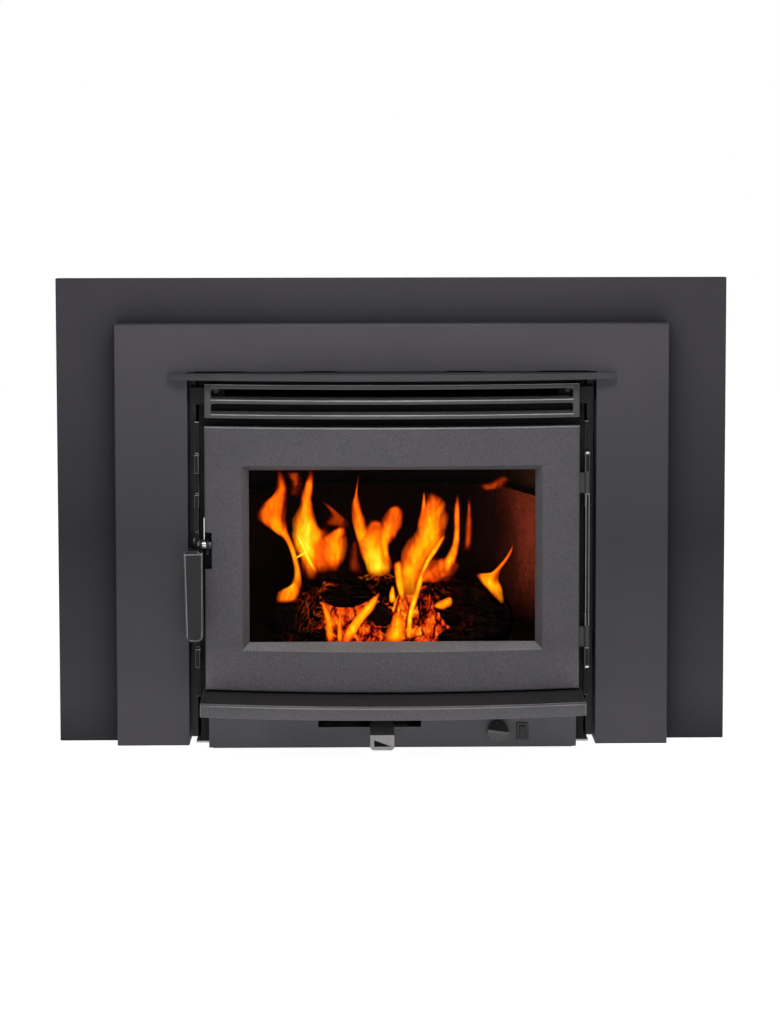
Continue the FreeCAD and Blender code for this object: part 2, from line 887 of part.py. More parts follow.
# Door casting
glass_half = window_width / 2 + glass_lap
glass_low = window_bottom - glass_lap
glass_high = window_top + glass_lap
rope_half = door_half - rope_inset
rope_low = door_bottom + rope_inset
rope_high = door_top - rope_inset


def window_flare():
    seat = door_back - glass_thick - tape_thick
    reach = seat - door_front + 6
    front = front_rectangle(window_width / 2 + window_side_flare * reach, seat - reach,
                            window_bottom - window_end_flare * reach, window_top + window_end_flare * reach)
    back = front_rectangle(window_width / 2, seat, window_bottom, window_top)
    flare = Part.makeLoft([front, back], True, True)
    pocket = wide(glass_half + glass_play, seat, door_back + 1, glass_low - glass_play,
                  glass_high + glass_play)
    return flare.fuse(pocket)


def rope_channel():
    spread = rope_radius + rope_side_play
    floor = door_back - rope_radius - rope_floor_play - rope_seat_play
    outer = rounded_block(rope_half + spread, floor, door_back + 1, rope_low - spread, rope_high + spread,
                          rope_corner + spread)
    inner = rounded_block(rope_half - spread, floor - 1, door_back + 2, rope_low + spread,
                          rope_high - spread, rope_corner - spread)
    return outer.cut(inner)


def clip_places():
    half = glass_half + glass_play
    side = (glass_low + glass_high) / 2
    low = glass_low - glass_play
    high = glass_high + glass_play
    rows = [(x, z, True) for z in (low, high) for x in (clip_inset - half, half - clip_inset)]
    return rows + [(-half, side, False), (half, side, False)]


def clip_screw_place(x, z, level):
    offset = frame_land / 2
    if level:
        middle = (glass_low + glass_high) / 2
        return x, z + math.copysign(offset, z - middle)
    return x + math.copysign(offset, x), z


def door_frame():
    frame = bowed(door_half, door_front, door_back, door_bottom, door_top)
    frame = frame.makeChamfer(door_edge_chamfer, [e for e in frame.Edges if e.BoundBox.YMax < door_back - 1])
    land_half = glass_half + glass_play + frame_land
    hollow = bowed(door_half - door_rim, door_front + door_skin, door_back + 1,
                   door_bottom + door_rim, door_top - door_rim)
    hollow = hollow.cut(wide(land_half, door_front, door_back + 2, glass_low - glass_play - frame_land,
                             glass_high + glass_play + frame_land))
    frame = frame.cut(hollow).cut(window_flare()).cut(rope_channel())
    edge = -door_half
    frame = frame.cut(box(edge - 1, edge + notch_width, door_front, notch_floor, notch_bottom, notch_top))
    for low, high in ear_spans():
        frame = frame.fuse(box(door_half - ear_root, hinge_x, ear_arm_front, ear_arm_back, low, high))
        frame = frame.fuse(rod_z(hinge_x, hinge_y, low, high, knuckle_radius))
        frame = frame.cut(rod_z(hinge_x, hinge_y, low - 1, high + 1, pin_radius + pin_play))
    return frame.removeSplitter()


def door_glass():
    return wide(glass_half, door_back - glass_thick, door_back, glass_low, glass_high)


def glass_tape():
    seat = door_back - glass_thick - tape_thick
    ring = wide(glass_half, seat, seat + tape_thick, glass_low, glass_high)
    return ring.cut(wide(glass_half - tape_width, seat - 1, seat + tape_thick + 1,
                         glass_low + tape_width, glass_high - tape_width))


def door_rope():
    middle = door_back - rope_floor_play
    corner = rope_corner
    x, low, high = rope_half, rope_low, rope_high
    quarter = corner * (1 - math.sqrt(0.5))
    starts = [(-x + corner, low), (x, low + corner), (x - corner, high), (-x, high - corner)]
    ends = [(x - corner, low), (x, high - corner), (-x + corner, high), (-x, low + corner)]
    bends = [(x - quarter, low + quarter), (x - quarter, high - quarter),
             (-x + quarter, high - quarter), (-x + quarter, low + quarter)]
    edges = []
    for index in range(4):
        begin, end, bend = starts[index], ends[index], bends[index]
        after = starts[(index + 1) % 4]
        edges.append(Part.makeLine(V(begin[0], middle, begin[1]), V(end[0], middle, end[1])))
        edges.append(Part.Arc(V(end[0], middle, end[1]), V(bend[0], middle, bend[1]),
                              V(after[0], middle, after[1])).toShape())
    section = [V(starts[0][0], middle + rope_radius * math.cos(math.radians(45 * k + 22.5)),
                 low + rope_radius * math.sin(math.radians(45 * k + 22.5))) for k in range(8)]
    return Part.Wire(edges).makePipeShell([Part.makePolygon(section + section[:1])], True, False)


def glass_clips():
    clips = []
    screws = []
    for place in clip_places():
        x, z = clip_screw_place(*place)
        wide_half = clip_length / 2 if place[2] else clip_width / 2
        tall_half = clip_width / 2 if place[2] else clip_length / 2
        shift_x = 0 if place[2] else math.copysign(clip_width / 2 - frame_land / 2, -x)
        shift_z = math.copysign(clip_width / 2 - frame_land / 2, (glass_low + glass_high) / 2 - z) \
            if place[2] else 0
        plate = box(x + shift_x - wide_half, x + shift_x + wide_half, door_back, door_back + clip_thick,
                    z + shift_z - tall_half, z + shift_z + tall_half)
        clips.append(plate)
        seat = door_back + clip_thick
        screws.append(hexagon_y(x, seat, seat + clip_head_thick, z, clip_head_radius))
    return clips, screws


# Latch: a lever on a cross bolt hooks a fixed keeper pin
def latch_bracket():
    lug = rod_x(ear_plate_left, ear_plate_right, pivot_y, pivot_z, ear_plate_round)
    web = box(ear_plate_left, ear_plate_right, pivot_y, notch_floor, pivot_z - 2 * ear_plate_round,
              pivot_z + ear_plate_round)
    lug = lug.fuse(web)
    return lug.cut(rod_x(ear_plate_left - 1, ear_plate_right + 1, pivot_y, pivot_z,
                         bolt_radius + bolt_play)).removeSplitter()


def latch_spring():
    edge = -door_half
    strip = box(edge - spring_thick, edge, spring_front, spring_front + spring_width, spring_bottom,
                spring_top)
    return strip.makeFillet(spring_thick / 3, [e for e in strip.Edges if e.BoundBox.ZMin > spring_top - 0.01])


def latch_lever():
    finger_front = lever_tail - finger_thick
    floor = keeper_z - keeper_radius - hook_drop
    outline = [(pivot_y, pivot_z - lever_hub), (lever_tail - hook_toe, floor),
               (lever_tail, floor + hook_heel),
               (lever_tail, finger_top), (finger_front, finger_top), (finger_front, floor + hook_web),
               (pivot_y, pivot_z + lever_hub)]
    plate = profile_x(outline, lever_left, lever_right)
    plate = plate.fuse(rod_x(lever_left, lever_right, pivot_y, pivot_z, lever_hub))
    arm = box(lever_left, lever_right, grip_front + grip_thick, pivot_y, grip_cap_bottom + arm_margin,
              grip_cap_top - arm_margin)
    plate = plate.fuse(arm)
    return plate.cut(rod_x(lever_left - 1, lever_right + 1, pivot_y, pivot_z, bolt_radius)).removeSplitter()


def pivot_bolt():
    shank = rod_x(lever_left, ear_plate_right + end_play + nut_thick, pivot_y, pivot_z, bolt_radius)
    head = profile_x(polygon(pivot_y, pivot_z, bolt_head_radius), lever_left - bolt_head_thick,
                     lever_left)
    return shank.fuse(head).removeSplitter()


def pivot_bush():
    bush = rod_x(lever_right, ear_plate_left - end_play, pivot_y, pivot_z, bush_radius)
    return bush.cut(rod_x(lever_right - 1, ear_plate_left, pivot_y, pivot_z, bolt_radius))


def pivot_nut():
    seat = ear_plate_right + end_play
    nut = profile_x(polygon(pivot_y, pivot_z, nut_radius), seat, seat + nut_thick)
    return nut.cut(rod_x(seat - 1, seat + nut_thick + 1, pivot_y, pivot_z, bolt_radius))


def handle_grip():
    back = grip_front + grip_thick
    corners = [V(grip_left, back, grip_top), V(grip_right, back, grip_top),
               V(grip_right, back, grip_bottom), V(grip_left + grip_taper, back, grip_bottom)]
    plate = Part.Face(Part.makePolygon(corners + corners[:1])).extrude(V(0, -grip_thick, 0))
    lower = [e for e in plate.Edges if abs(e.tangentAt(0).y) > 0.99 and e.BoundBox.ZMax < grip_bottom + 1]
    plate = plate.makeFillet(grip_corner, lower)
    plate = plate.makeChamfer(grip_chamfer, [e for e in plate.Edges if e.BoundBox.YMax < grip_front + 0.01])
    cap = box(grip_left + grip_chamfer, lever_left, grip_front + grip_chamfer, grip_cap_back,
              grip_cap_bottom, grip_cap_top)
    cap = cap.makeChamfer(grip_chamfer, [e for e in cap.Edges if e.BoundBox.ZMin > grip_cap_top - 0.01])
    return plate.fuse(cap).removeSplitter()


# Air control: a folded strap that slides the damper plate
def air_tab():
    low = strap_top - strap_thick
    run = box(strap_left, strap_right, tab_front, riser_front, low, strap_top)
    run = round_edges(run, strap_thick * 0.8, lambda e: e.BoundBox.YMax < tab_front + 0.01
                      and e.BoundBox.ZMin > strap_top - 0.01)
    face = box(strap_left, strap_right, tab_front, tab_front + strap_thick, tab_bottom, low)
    face = face.makeChamfer(tab_corner, [e for e in face.Edges if abs(e.tangentAt(0).y) > 0.99
                                         and e.BoundBox.ZMax < tab_bottom + 0.01])
    riser = box(strap_left, strap_right, riser_front - strap_thick, riser_front, low, damper_bottom)
    shelf = box(strap_left, strap_right, riser_front - strap_thick, riser_front + damper_tongue,
                damper_bottom - strap_thick, damper_bottom)
    return run.fuse(face).fuse(riser).fuse(shelf).removeSplitter()


def damper_plate():
    plate = box(damper_left, damper_right, -damper_half_depth, damper_half_depth, damper_bottom,
                damper_bottom + damper_thick)
    spacing = (damper_right - damper_left) / 3
    for index in (1, 2):
        middle = damper_left + index * spacing
        plate = plate.cut(box(middle - damper_port_width / 2, middle + damper_port_width / 2,
                              -damper_port_depth / 2, damper_port_depth / 2, damper_bottom - 1,
                              damper_bottom + damper_thick + 1))
    return plate


def damper_guides():
    near = damper_half_depth - guide_overlap
    rail = box(guide_left, guide_right, near, near + guide_width, guide_bottom, duct_bottom)
    groove = box(guide_left - 1, guide_right + 1, near - 1, damper_half_depth + guide_play,
                 damper_bottom - guide_play, damper_bottom + damper_thick + guide_play)
    rail = rail.cut(groove)
    return rail, rail.mirror(V(0, 0, 0), V(0, 1, 0))


def air_duct():
    outer = box(duct_left, duct_right, -duct_half_depth, duct_half_depth, duct_bottom, shell_bottom)
    inner = box(duct_left + sheet, duct_right - sheet, -duct_half_depth + sheet, duct_half_depth - sheet,
                duct_bottom + sheet, shell_bottom + 1)
    middle = (duct_left + duct_right) / 2
    inlet = box(middle - damper_port_width, middle + damper_port_width, -damper_port_depth / 2,
                damper_port_depth / 2, duct_bottom - 1, duct_bottom + sheet + 1)
    return outer.cut(inner).cut(inlet)


# Fan control: knob, speed control, switch
def speed_knob():
    front = fascia_front - knob_stand_off - knob_height
    back = front + knob_height
    skirt = rod_y(knob_x, front, back, knob_z, knob_radius)
    rim = knob_radius + 1
    wedge = [(back, knob_z - rim), (front + knob_slope, knob_z - rim), (front, knob_z - knob_ridge / 2),
             (front, knob_z + knob_ridge / 2), (front + knob_slope, knob_z + rim), (back, knob_z + rim)]
    prism = profile_x(wedge, knob_x - rim, knob_x + rim)
    prism.rotate(V(knob_x, front, knob_z), V(0, 1, 0), knob_turn)
    shaft = rod_y(knob_x, back - 1, knob_shaft_back, knob_z, knob_shaft_radius)
    return skirt.common(prism).fuse(shaft).removeSplitter()


def speed_control():
    case = box(knob_x - control_half, knob_x + control_half, fascia_back, fascia_back + control_depth,
               knob_z - control_half, knob_z + control_half)
    bush = rod_y(knob_x, fascia_front + running_gap, fascia_back, knob_z, control_bush_radius)
    bore = rod_y(knob_x, fascia_front - 1, knob_shaft_back + running_gap, knob_z,
                 knob_shaft_radius + knob_shaft_play)
    return case.fuse(bush).cut(bore).removeSplitter()


def switch_bezel():
    half, rise = switch_width / 2, switch_height / 2
    flange = box(switch_x - half, switch_x + half, fascia_front - switch_bezel_thick, fascia_front,
                 switch_z - rise, switch_z + rise)
    flange = flange.makeChamfer(bezel_round, [e for e in flange.Edges
                                        if e.BoundBox.YMax < fascia_front - switch_bezel_thick + 0.01])
    inset = switch_bezel_thick + fascia_hole_play
    body = box(switch_x - half + inset, switch_x + half - inset, fascia_front, fascia_front + switch_depth,
               switch_z - rise + inset, switch_z + rise - inset)
    well = box(switch_x - half + inset + switch_wall, switch_x + half - inset - switch_wall,
               fascia_front - switch_bezel_thick - 1, fascia_front + switch_depth - switch_wall,
               switch_z - rise + inset + switch_wall, switch_z + rise - inset - switch_wall)
    pins = rod_x(switch_x - half + inset, switch_x + half - inset, fascia_front + rocker_pivot_depth,
                 switch_z, trunnion_radius + trunnion_play)
    return flange.fuse(body).cut(well).cut(pins).removeSplitter()


def switch_rocker():
    inset = switch_bezel_thick + fascia_hole_play + switch_wall + switch_play
    half = switch_width / 2 - inset
    rise = switch_height / 2 - inset - switch_play
    front = fascia_front - switch_bezel_thick - rocker_rise
    back = fascia_front + rocker_pivot_depth
    points = [(back, switch_z - rise + rocker_taper), (front, switch_z - rise),
              (front + rocker_dip, switch_z), (front, switch_z + rise),
              (back, switch_z + rise - rocker_taper)]
    key = profile_x(points, switch_x - half, switch_x + half)
    pins = rod_x(switch_x - half - trunnion_length, switch_x + half + trunnion_length, back, switch_z,
                 trunnion_radius)
    return key.fuse(pins).removeSplitter()


# Blower: a twin squirrel-cage fan on one shaft
def fan_wheel():
    rim = polygon(fan_y, fan_z, fan_radius, fan_sides)
    disc = profile_x(rim, fan_inner_end, fan_inner_end + fan_disc_thick)
    hub = profile_x(polygon(fan_y, fan_z, fan_hub_radius), fan_inner_end, fan_inner_end + fan_hub_length)
    ring = profile_x(rim, fan_outer_end - fan_disc_thick, fan_outer_end)
    ring = ring.cut(profile_x(polygon(fan_y, fan_z, fan_inner_radius, fan_sides),
                              fan_outer_end - 2 * fan_disc_thick, fan_outer_end + 1))
    wheel = disc.fuse(hub)
    blades = [ring]
    for index in range(fan_blades):
        blade = box(fan_inner_end + fan_disc_thick, fan_outer_end - fan_disc_thick,
                    fan_y - fan_blade_thick / 2, fan_y + fan_blade_thick / 2,
                    fan_z + fan_inner_radius + fan_blade_inset,
                    fan_z + fan_radius - fan_blade_inset)
        middle = V(fan_outer_end, fan_y, fan_z + (fan_inner_radius + fan_radius) / 2)
        blade.rotate(middle, V(1, 0, 0), fan_blade_angle)
        blade.rotate(V(0, fan_y, fan_z), V(1, 0, 0), 360 * index / fan_blades)
        blades.append(blade)
    wheel = wheel.multiFuse(blades)
    return wheel.cut(rod_x(fan_inner_end - 1, fan_outer_end, fan_y, fan_z,
                           fan_shaft_radius + fan_fit)).removeSplitter()


def fan_shaft():
    return rod_x(-fan_shaft_half, fan_shaft_half, fan_y, fan_z, fan_shaft_radius)


def fan_scroll():
    left = fan_inner_end - scroll_end_gap
    right = fan_outer_end + scroll_end_gap
    drum = profile_x(polygon(fan_y, fan_z, scroll_radius, fan_sides), left, right)
    roof = fan_z + scroll_radius
    drum = drum.fuse(box(left, right, fan_y, fan_y + scroll_spout, roof - scroll_spout_height, roof))
    hollow = profile_x(polygon(fan_y, fan_z, scroll_radius - scroll_wall, fan_sides), left + scroll_wall,
                       right - scroll_wall)
    hollow = hollow.fuse(box(left + scroll_wall, right - scroll_wall, fan_y, fan_y + scroll_spout + 1,
                             roof - scroll_spout_height + scroll_wall, roof - scroll_wall))
    eye = profile_x(polygon(fan_y, fan_z, fan_inner_radius, fan_sides), left - 1, right + 1)
    drum = drum.cut(hollow).cut(eye)
    foot = box(left, right, fan_y - scroll_radius, fan_y + scroll_radius, pan_thick, pan_thick + scroll_wall)
    prop = box(left, right, fan_y - scroll_prop_half, fan_y + scroll_prop_half, pan_thick,
               fan_z - scroll_radius + scroll_wall)
    return drum.fuse(foot).fuse(prop).removeSplitter()


def fan_motor():
    core = wide(motor_half, fan_y - motor_core_half, fan_y + motor_core_half, fan_z - motor_core_half,
                fan_z + motor_core_half)
    bell = profile_x(polygon(fan_y, fan_z, motor_bell_radius, motor_bell_sides), -motor_half - motor_bell,
                     motor_half + motor_bell)
    motor = core.fuse(bell)
    bore = rod_x(-motor_half - 2 * motor_bell, motor_half + 2 * motor_bell, fan_y, fan_z,
                 fan_shaft_radius + fan_fit)
    return motor.cut(bore).removeSplitter()


def motor_cradle():
    block = box(-cradle_half, cradle_half, fan_y - cradle_base / 2, fan_y + cradle_base / 2, pan_thick,
                pan_thick + cradle_wall)
    saddle = wide(cradle_half, fan_y - saddle_half, fan_y + saddle_half, pan_thick, fan_z - motor_core_half)
    return block.fuse(saddle).removeSplitter()


def heat_sensor():
    disc = rod_z(sensor_x, sensor_y, shell_bottom - sensor_thick, shell_bottom, sensor_radius)
    floor = shell_bottom - sensor_thick
    tabs = []
    for side in (-1, 1):
        x = sensor_x + side * sensor_tab_spread / 2
        tabs.append(box(x - sensor_tab_thick / 2, x + sensor_tab_thick / 2, sensor_y - sensor_tab_half,
                        sensor_y + sensor_tab_half, floor - sensor_tab_drop, floor + 1))
    return disc.fuse(tabs).removeSplitter()


def cord_inlet():
    body = rod_x(jacket_half - inlet_depth, jacket_half, inlet_y, inlet_z, inlet_radius)
    flange = profile_x(polygon(inlet_y, inlet_z, inlet_flange_radius), jacket_half,
                       jacket_half + inlet_flange_thick)
    bore = rod_x(jacket_half - inlet_depth - 1, jacket_half + inlet_flange_thick + 1, inlet_y, inlet_z,
                 inlet_bore)
    return body.fuse(flange).cut(bore).removeSplitter()


save("outer_surround", outer_surround())
save("inner_surround", inner_surround())
save("surround_straps", *surround_straps())
save("canopy", canopy())
save("grille", grille())
save("grille_brackets", *grille_brackets())
save("grille_screws", *grille_screws())
save("face_plate", face_plate())
save("firebox_shell", *firebox_shell())
save("floor_bricks", *floor_bricks())
right_bricks, back_bricks = brick_walls()
save("right_bricks", *right_bricks)
save("left_bricks", *[mirrored(brick) for brick in right_bricks])
save("back_bricks", *back_bricks)
save("air_channels", *air_channels())
save("air_tubes", *air_tubes())
save("baffle_board", baffle_board())
save("flue_collar", flue_collar())
save("collar_bolts", *collar_bolts())
jacket_left, jacket_right, jacket_corners, jacket_back_sheet = jacket_panels()
save("jacket_left", jacket_left)
save("jacket_right", jacket_right)
save("jacket_corners", *jacket_corners)
save("jacket_back", jacket_back_sheet)
save("jacket_top", jacket_top())
save("base_pan", base_pan())
save("base_fascia", base_fascia())
save("ash_lip", ash_lip())
left_column, right_column = hinge_columns()
save("left_column", left_column)
save("right_column", right_column)
save("hinge_pins", *hinge_pins())
save("latch_keeper", latch_keeper())
save("door_frame", door_frame())
save("door_glass", door_glass())
save("glass_tape", glass_tape())
save("door_rope", door_rope())
clip_plates, clip_screws = glass_clips()
save("glass_clips", *clip_plates)
save("clip_screws", *clip_screws)
save("latch_bracket", latch_bracket())
save("latch_spring", latch_spring())
save("latch_lever", latch_lever())
save("pivot_bolt", pivot_bolt())
save("pivot_bush", pivot_bush())
save("pivot_nut", pivot_nut())
save("handle_grip", handle_grip())
save("air_tab", air_tab())
save("damper_plate", damper_plate())
save("damper_guides", *damper_guides())
save("air_duct", air_duct())
save("speed_knob", speed_knob())
save("speed_control", speed_control())
save("switch_bezel", switch_bezel())
save("switch_rocker", switch_rocker())
save("fan_wheels", *pair(fan_wheel()))
save("fan_shaft", fan_shaft())
save("fan_scrolls", *pair(fan_scroll()))
save("fan_motor", fan_motor())
save("motor_cradle", motor_cradle())
save("heat_sensor", heat_sensor())
save("cord_inlet", cord_inlet())
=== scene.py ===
import bpy
import bmesh
import math
import random
from mathutils import Matrix, Vector, noise


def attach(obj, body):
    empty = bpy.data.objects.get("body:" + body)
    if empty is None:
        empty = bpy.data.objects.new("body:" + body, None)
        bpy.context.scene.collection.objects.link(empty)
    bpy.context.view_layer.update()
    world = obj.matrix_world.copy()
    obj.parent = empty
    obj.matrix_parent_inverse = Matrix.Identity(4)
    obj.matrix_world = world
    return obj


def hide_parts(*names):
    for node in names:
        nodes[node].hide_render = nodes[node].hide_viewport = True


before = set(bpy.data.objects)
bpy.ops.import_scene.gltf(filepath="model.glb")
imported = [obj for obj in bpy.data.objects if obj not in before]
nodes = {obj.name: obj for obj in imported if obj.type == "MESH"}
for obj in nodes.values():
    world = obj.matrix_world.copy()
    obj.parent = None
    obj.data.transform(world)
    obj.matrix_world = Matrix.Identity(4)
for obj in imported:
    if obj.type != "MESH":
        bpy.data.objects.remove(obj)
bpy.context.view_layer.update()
scene = bpy.context.scene
mm = 0.001
bowRadius = 1650.0  # plan radius shared by door and grille
cameraSet = {"place": (-0.0505, -3.6, 0.9), "tilt": 0.06589, "yaw": 0.01337, "roll": -0.00149,
             "lens": 79.247, "sensor": 36, "shiftY": -0.18}
print("frame loaded", len(nodes))


def bowShift(x):
    return bowRadius - math.sqrt(bowRadius ** 2 - x * x)


def material(name):
    mat = bpy.data.materials.new(name)
    mat.use_nodes = True
    mat.node_tree.nodes.clear()
    return mat


def feed(mat, socket, value):
    if isinstance(value, bpy.types.NodeSocket):
        mat.node_tree.links.new(value, socket)
    else:
        socket.default_value = value


def addNode(mat, kind, **values):
    made = mat.node_tree.nodes.new(kind)
    for key, value in values.items():
        if key in made.inputs:
            feed(mat, made.inputs[key], value)
        else:
            setattr(made, key, value)
    return made


def ramp(mat, source, stops):
    made = addNode(mat, "ShaderNodeValToRGB", Fac=source)
    for end in (0, -1):
        made.color_ramp.elements[end].position = stops[end][0]
        made.color_ramp.elements[end].color = (*stops[end][1], 1)
    for place, colour in stops[1:-1]:
        made.color_ramp.elements.new(place).color = (*colour, 1)
    return made.outputs["Color"]


def spread(mat, source, start, end, low, high):
    limits = {"From Min": start, "From Max": end, "To Min": low, "To Max": high}
    return addNode(mat, "ShaderNodeMapRange", Value=source, **limits).outputs["Result"]


def scaled(mat, colour, factor):
    made = addNode(mat, "ShaderNodeVectorMath", operation="SCALE", Scale=factor)
    feed(mat, made.inputs[0], colour)
    return made.outputs["Vector"]


def vectors(mat, operation, a, b):
    made = addNode(mat, "ShaderNodeVectorMath", operation=operation)
    feed(mat, made.inputs[0], a)
    feed(mat, made.inputs[1], b)
    return made


def combine(mat, operation, a, b, clamp=False):
    made = addNode(mat, "ShaderNodeMath", operation=operation, use_clamp=clamp)
    feed(mat, made.inputs[0], a)
    feed(mat, made.inputs[1], b)
    return made.outputs["Value"]


def product(mat, first, *others):
    for other in others:
        first = combine(mat, "MULTIPLY", first, other, True)
    return first


def total(mat, first, *others):
    for other in others:
        first = combine(mat, "ADD", first, other, other == others[-1])  # only the last sum is clamped
    return first


def coords(mat, name):
    return addNode(mat, "ShaderNodeTexCoord").outputs[name]


def axis(mat, vector, name):
    return addNode(mat, "ShaderNodeSeparateXYZ", Vector=vector).outputs[name]


def mapped(mat, spot, scale, turn=(0, 0, 0)):
    return addNode(mat, "ShaderNodeMapping", Vector=spot, Scale=scale, Rotation=turn).outputs["Vector"]


def clouds(mat, spot, scale, detail, rough=0.5, warp=0.0):
    values = {"Scale": scale, "Detail": detail, "Roughness": rough, "Distortion": warp}
    return addNode(mat, "ShaderNodeTexNoise", Vector=spot, **values).outputs["Fac"]


def cells(mat, spot, scale):
    made = addNode(mat, "ShaderNodeTexVoronoi", feature="DISTANCE_TO_EDGE", Vector=spot, Scale=scale)
    return made.outputs["Distance"]


def mixed(mat, amount, first, second, output="ShaderNodeOutputMaterial"):
    mix = addNode(mat, "ShaderNodeMixShader", Fac=amount)
    feed(mat, mix.inputs[1], first)
    feed(mat, mix.inputs[2], second)
    addNode(mat, output, Surface=mix.outputs["Shader"])


def finish(name, base, rough, metal=0.0, grain=900.0, depth=0.15, mottle=0.12, spec=0.5, speckle=0.17,
           top=None, underShade=None, lightFade=None, midShade=None, cornerShade=None):
    mat = material(name)
    spot = coords(mat, "Object")
    fine = clouds(mat, spot, grain, 3.0, 0.6)
    broad = clouds(mat, spot, 9.0, 4.0, 0.55)
    tilt = axis(mat, addNode(mat, "ShaderNodeNewGeometry").outputs["Normal"], "Z")
    shades = [spread(mat, fine, 0.3, 0.7, 1 - speckle, 1 + speckle)]
    # painted shade: faces that point up are darkened by this factor
    if top is not None:
        shades.append(spread(mat, tilt, 0.8, 0.95, 1.0, top))
    # painted shade: faces that point down are darkened by this factor
    if underShade is not None:
        shades.append(spread(mat, tilt, -0.5, -0.1, underShade, 1.0))
    if cornerShade is not None:  # painted shade: darker toward inner corners
        hollow = addNode(mat, "ShaderNodeAmbientOcclusion", Distance=cornerShade, samples=8).outputs["AO"]
        shades.append(spread(mat, hollow, 0.5, 1.0, 0.52, 1.0))
    if midShade is not None:  # painted shade, darkest at a middle height
        low, middle, high, least = midShade
        height = axis(mat, spot, "Z")
        below = spread(mat, height, low, middle, 1.0, least)
        above = spread(mat, height, middle, high, least, 1.0)
        shades.append(combine(mat, "MAXIMUM", below, above))
    # painted light and shade that ramps along one axis
    if lightFade is not None:
        way, start, end, rest = lightFade
        shades.append(spread(mat, axis(mat, spot, way), start, end, 1.0, rest))
    dark = [c * (1 - mottle) for c in base]
    pale = [min(1, c * (1 + mottle)) for c in base]
    colour = ramp(mat, broad, [(0.32, dark), (0.68, pale)])
    for shade in shades:
        colour = scaled(mat, colour, shade)
    gloss = spread(mat, broad, 0.0, 1.0, max(0.02, rough - 0.08), min(1, rough + 0.1))
    bump = addNode(mat, "ShaderNodeBump", Strength=depth, Distance=0.0006, Height=fine)
    shader = addNode(mat, "ShaderNodeBsdfPrincipled", **{
        "Base Color": colour, "Roughness": gloss, "Metallic": metal, "Specular IOR Level": spec,
        "Normal": bump.outputs["Normal"]})
    addNode(mat, "ShaderNodeOutputMaterial", Surface=shader.outputs["BSDF"])
    return mat


# painted shade: panel and trim darkest at mid height, panel also darker near the trim
panelPaint = finish("panelPaint", (0.041, 0.0382, 0.0456), 0.55, grain=1400, depth=0.06, mottle=0.05,
                    spec=0.15, midShade=(0.09, 0.33, 0.62, 0.6), cornerShade=0.07)
trimPaint = finish("trimPaint", (0.058, 0.0545, 0.0640), 0.5, grain=1400, depth=0.06, mottle=0.05,
                   spec=0.2, midShade=(0.06, 0.33, 0.62, 0.66))
canopyPaint = finish("canopyPaint", (0.0455, 0.0428, 0.0478), 0.5, grain=1400, depth=0.06, mottle=0.06,
                     spec=0.25)
# painted light: paint lighter toward the bottom of the door
castPaint = finish("castPaint", (0.0695, 0.0652, 0.0735), 0.5, grain=420, depth=0.6, mottle=0.07,
                   spec=0.3, speckle=0.3, lightFade=("Z", 0.165, 0.09, 1.8))
grillePaint = finish("grillePaint", (0.042, 0.0395, 0.0435), 0.45, grain=520, depth=0.4, mottle=0.07)
# painted shade on the lip's upward faces
lipPaint = finish("lipPaint", (0.065, 0.0605, 0.0665), 0.5, grain=420, depth=0.6, mottle=0.08, top=0.3,
                  speckle=0.3)
# painted highlight: a lighter, glossier copy of the paint for edges that catch the lamps
edgeHighlight = finish("edgeHighlight", (0.20, 0.195, 0.20), 0.35, grain=520, depth=0.3, mottle=0.15, underShade=0.3)
# painted highlight: a brighter copy of the paint for the grille bars' top-front edges
barHighlight = finish("barHighlight", (0.36, 0.35, 0.36), 0.35, grain=520, depth=0.3, mottle=0.2, underShade=0.3)
# painted light: a lighter copy of the cast paint for the window's lower sill
litSillPaint = finish("litSillPaint", (0.165, 0.160, 0.166), 0.45, grain=420, depth=0.5, spec=0.3, speckle=0.3)
stovePaint = finish("stovePaint", (0.022, 0.020, 0.022), 0.5, mottle=0.15)
# near black: the glass tape's own colour, and painted shade in the latch notch and behind the air tab's
# cut-out
tapeAndShadeBlack = finish("tapeAndShadeBlack", (0.004, 0.0036, 0.0036), 0.8, grain=600, depth=0.2, mottle=0.3, spec=0.15)
columnPaint = finish("columnPaint", (0.007, 0.0065, 0.0075), 0.5, grain=600, depth=0.2, mottle=0.3, spec=0.18)
fasciaPaint = finish("fasciaPaint", (0.0705, 0.0665, 0.0765), 0.46, depth=0.2, mottle=0.15, spec=0.3)
firePlate = finish("firePlate", (0.004, 0.003, 0.003), 0.85, grain=300, depth=0.3, mottle=0.35, spec=0.1)
zincSheet = finish("zincSheet", (0.42, 0.43, 0.45), 0.38, metal=0.9, grain=60, depth=0.04, mottle=0.18)
# painted shade: bricks darker the deeper they sit in the firebox
brick = finish("brick", (0.17, 0.045, 0.035), 0.9, grain=210, depth=1.0, mottle=0.6, spec=0.05, speckle=0.95,
               lightFade=("Y", -0.02, 0.05, 0.13))
# a darker brick for the left and back walls
darkBrick = finish("darkBrick", (0.012, 0.005, 0.004), 0.9, grain=160, depth=0.8, mottle=0.5, spec=0.05)
board = finish("board", (0.014, 0.010, 0.008), 0.9, grain=240, depth=0.6, mottle=0.3, spec=0.1)
ropeBraid = finish("ropeBraid", (0.03, 0.028, 0.027), 0.95, grain=420, depth=1.0, mottle=0.2)
handleIron = finish("handleIron", (0.012, 0.0112, 0.012), 0.42, grain=800, depth=0.12, mottle=0.1, spec=0.26)
brightSteel = finish("brightSteel", (0.56, 0.55, 0.56), 0.26, metal=1.0, grain=500, depth=0.05, mottle=0.08)
dullSteel = finish("dullSteel", (0.07, 0.068, 0.07), 0.45, metal=0.7, grain=500, depth=0.1, mottle=0.1)
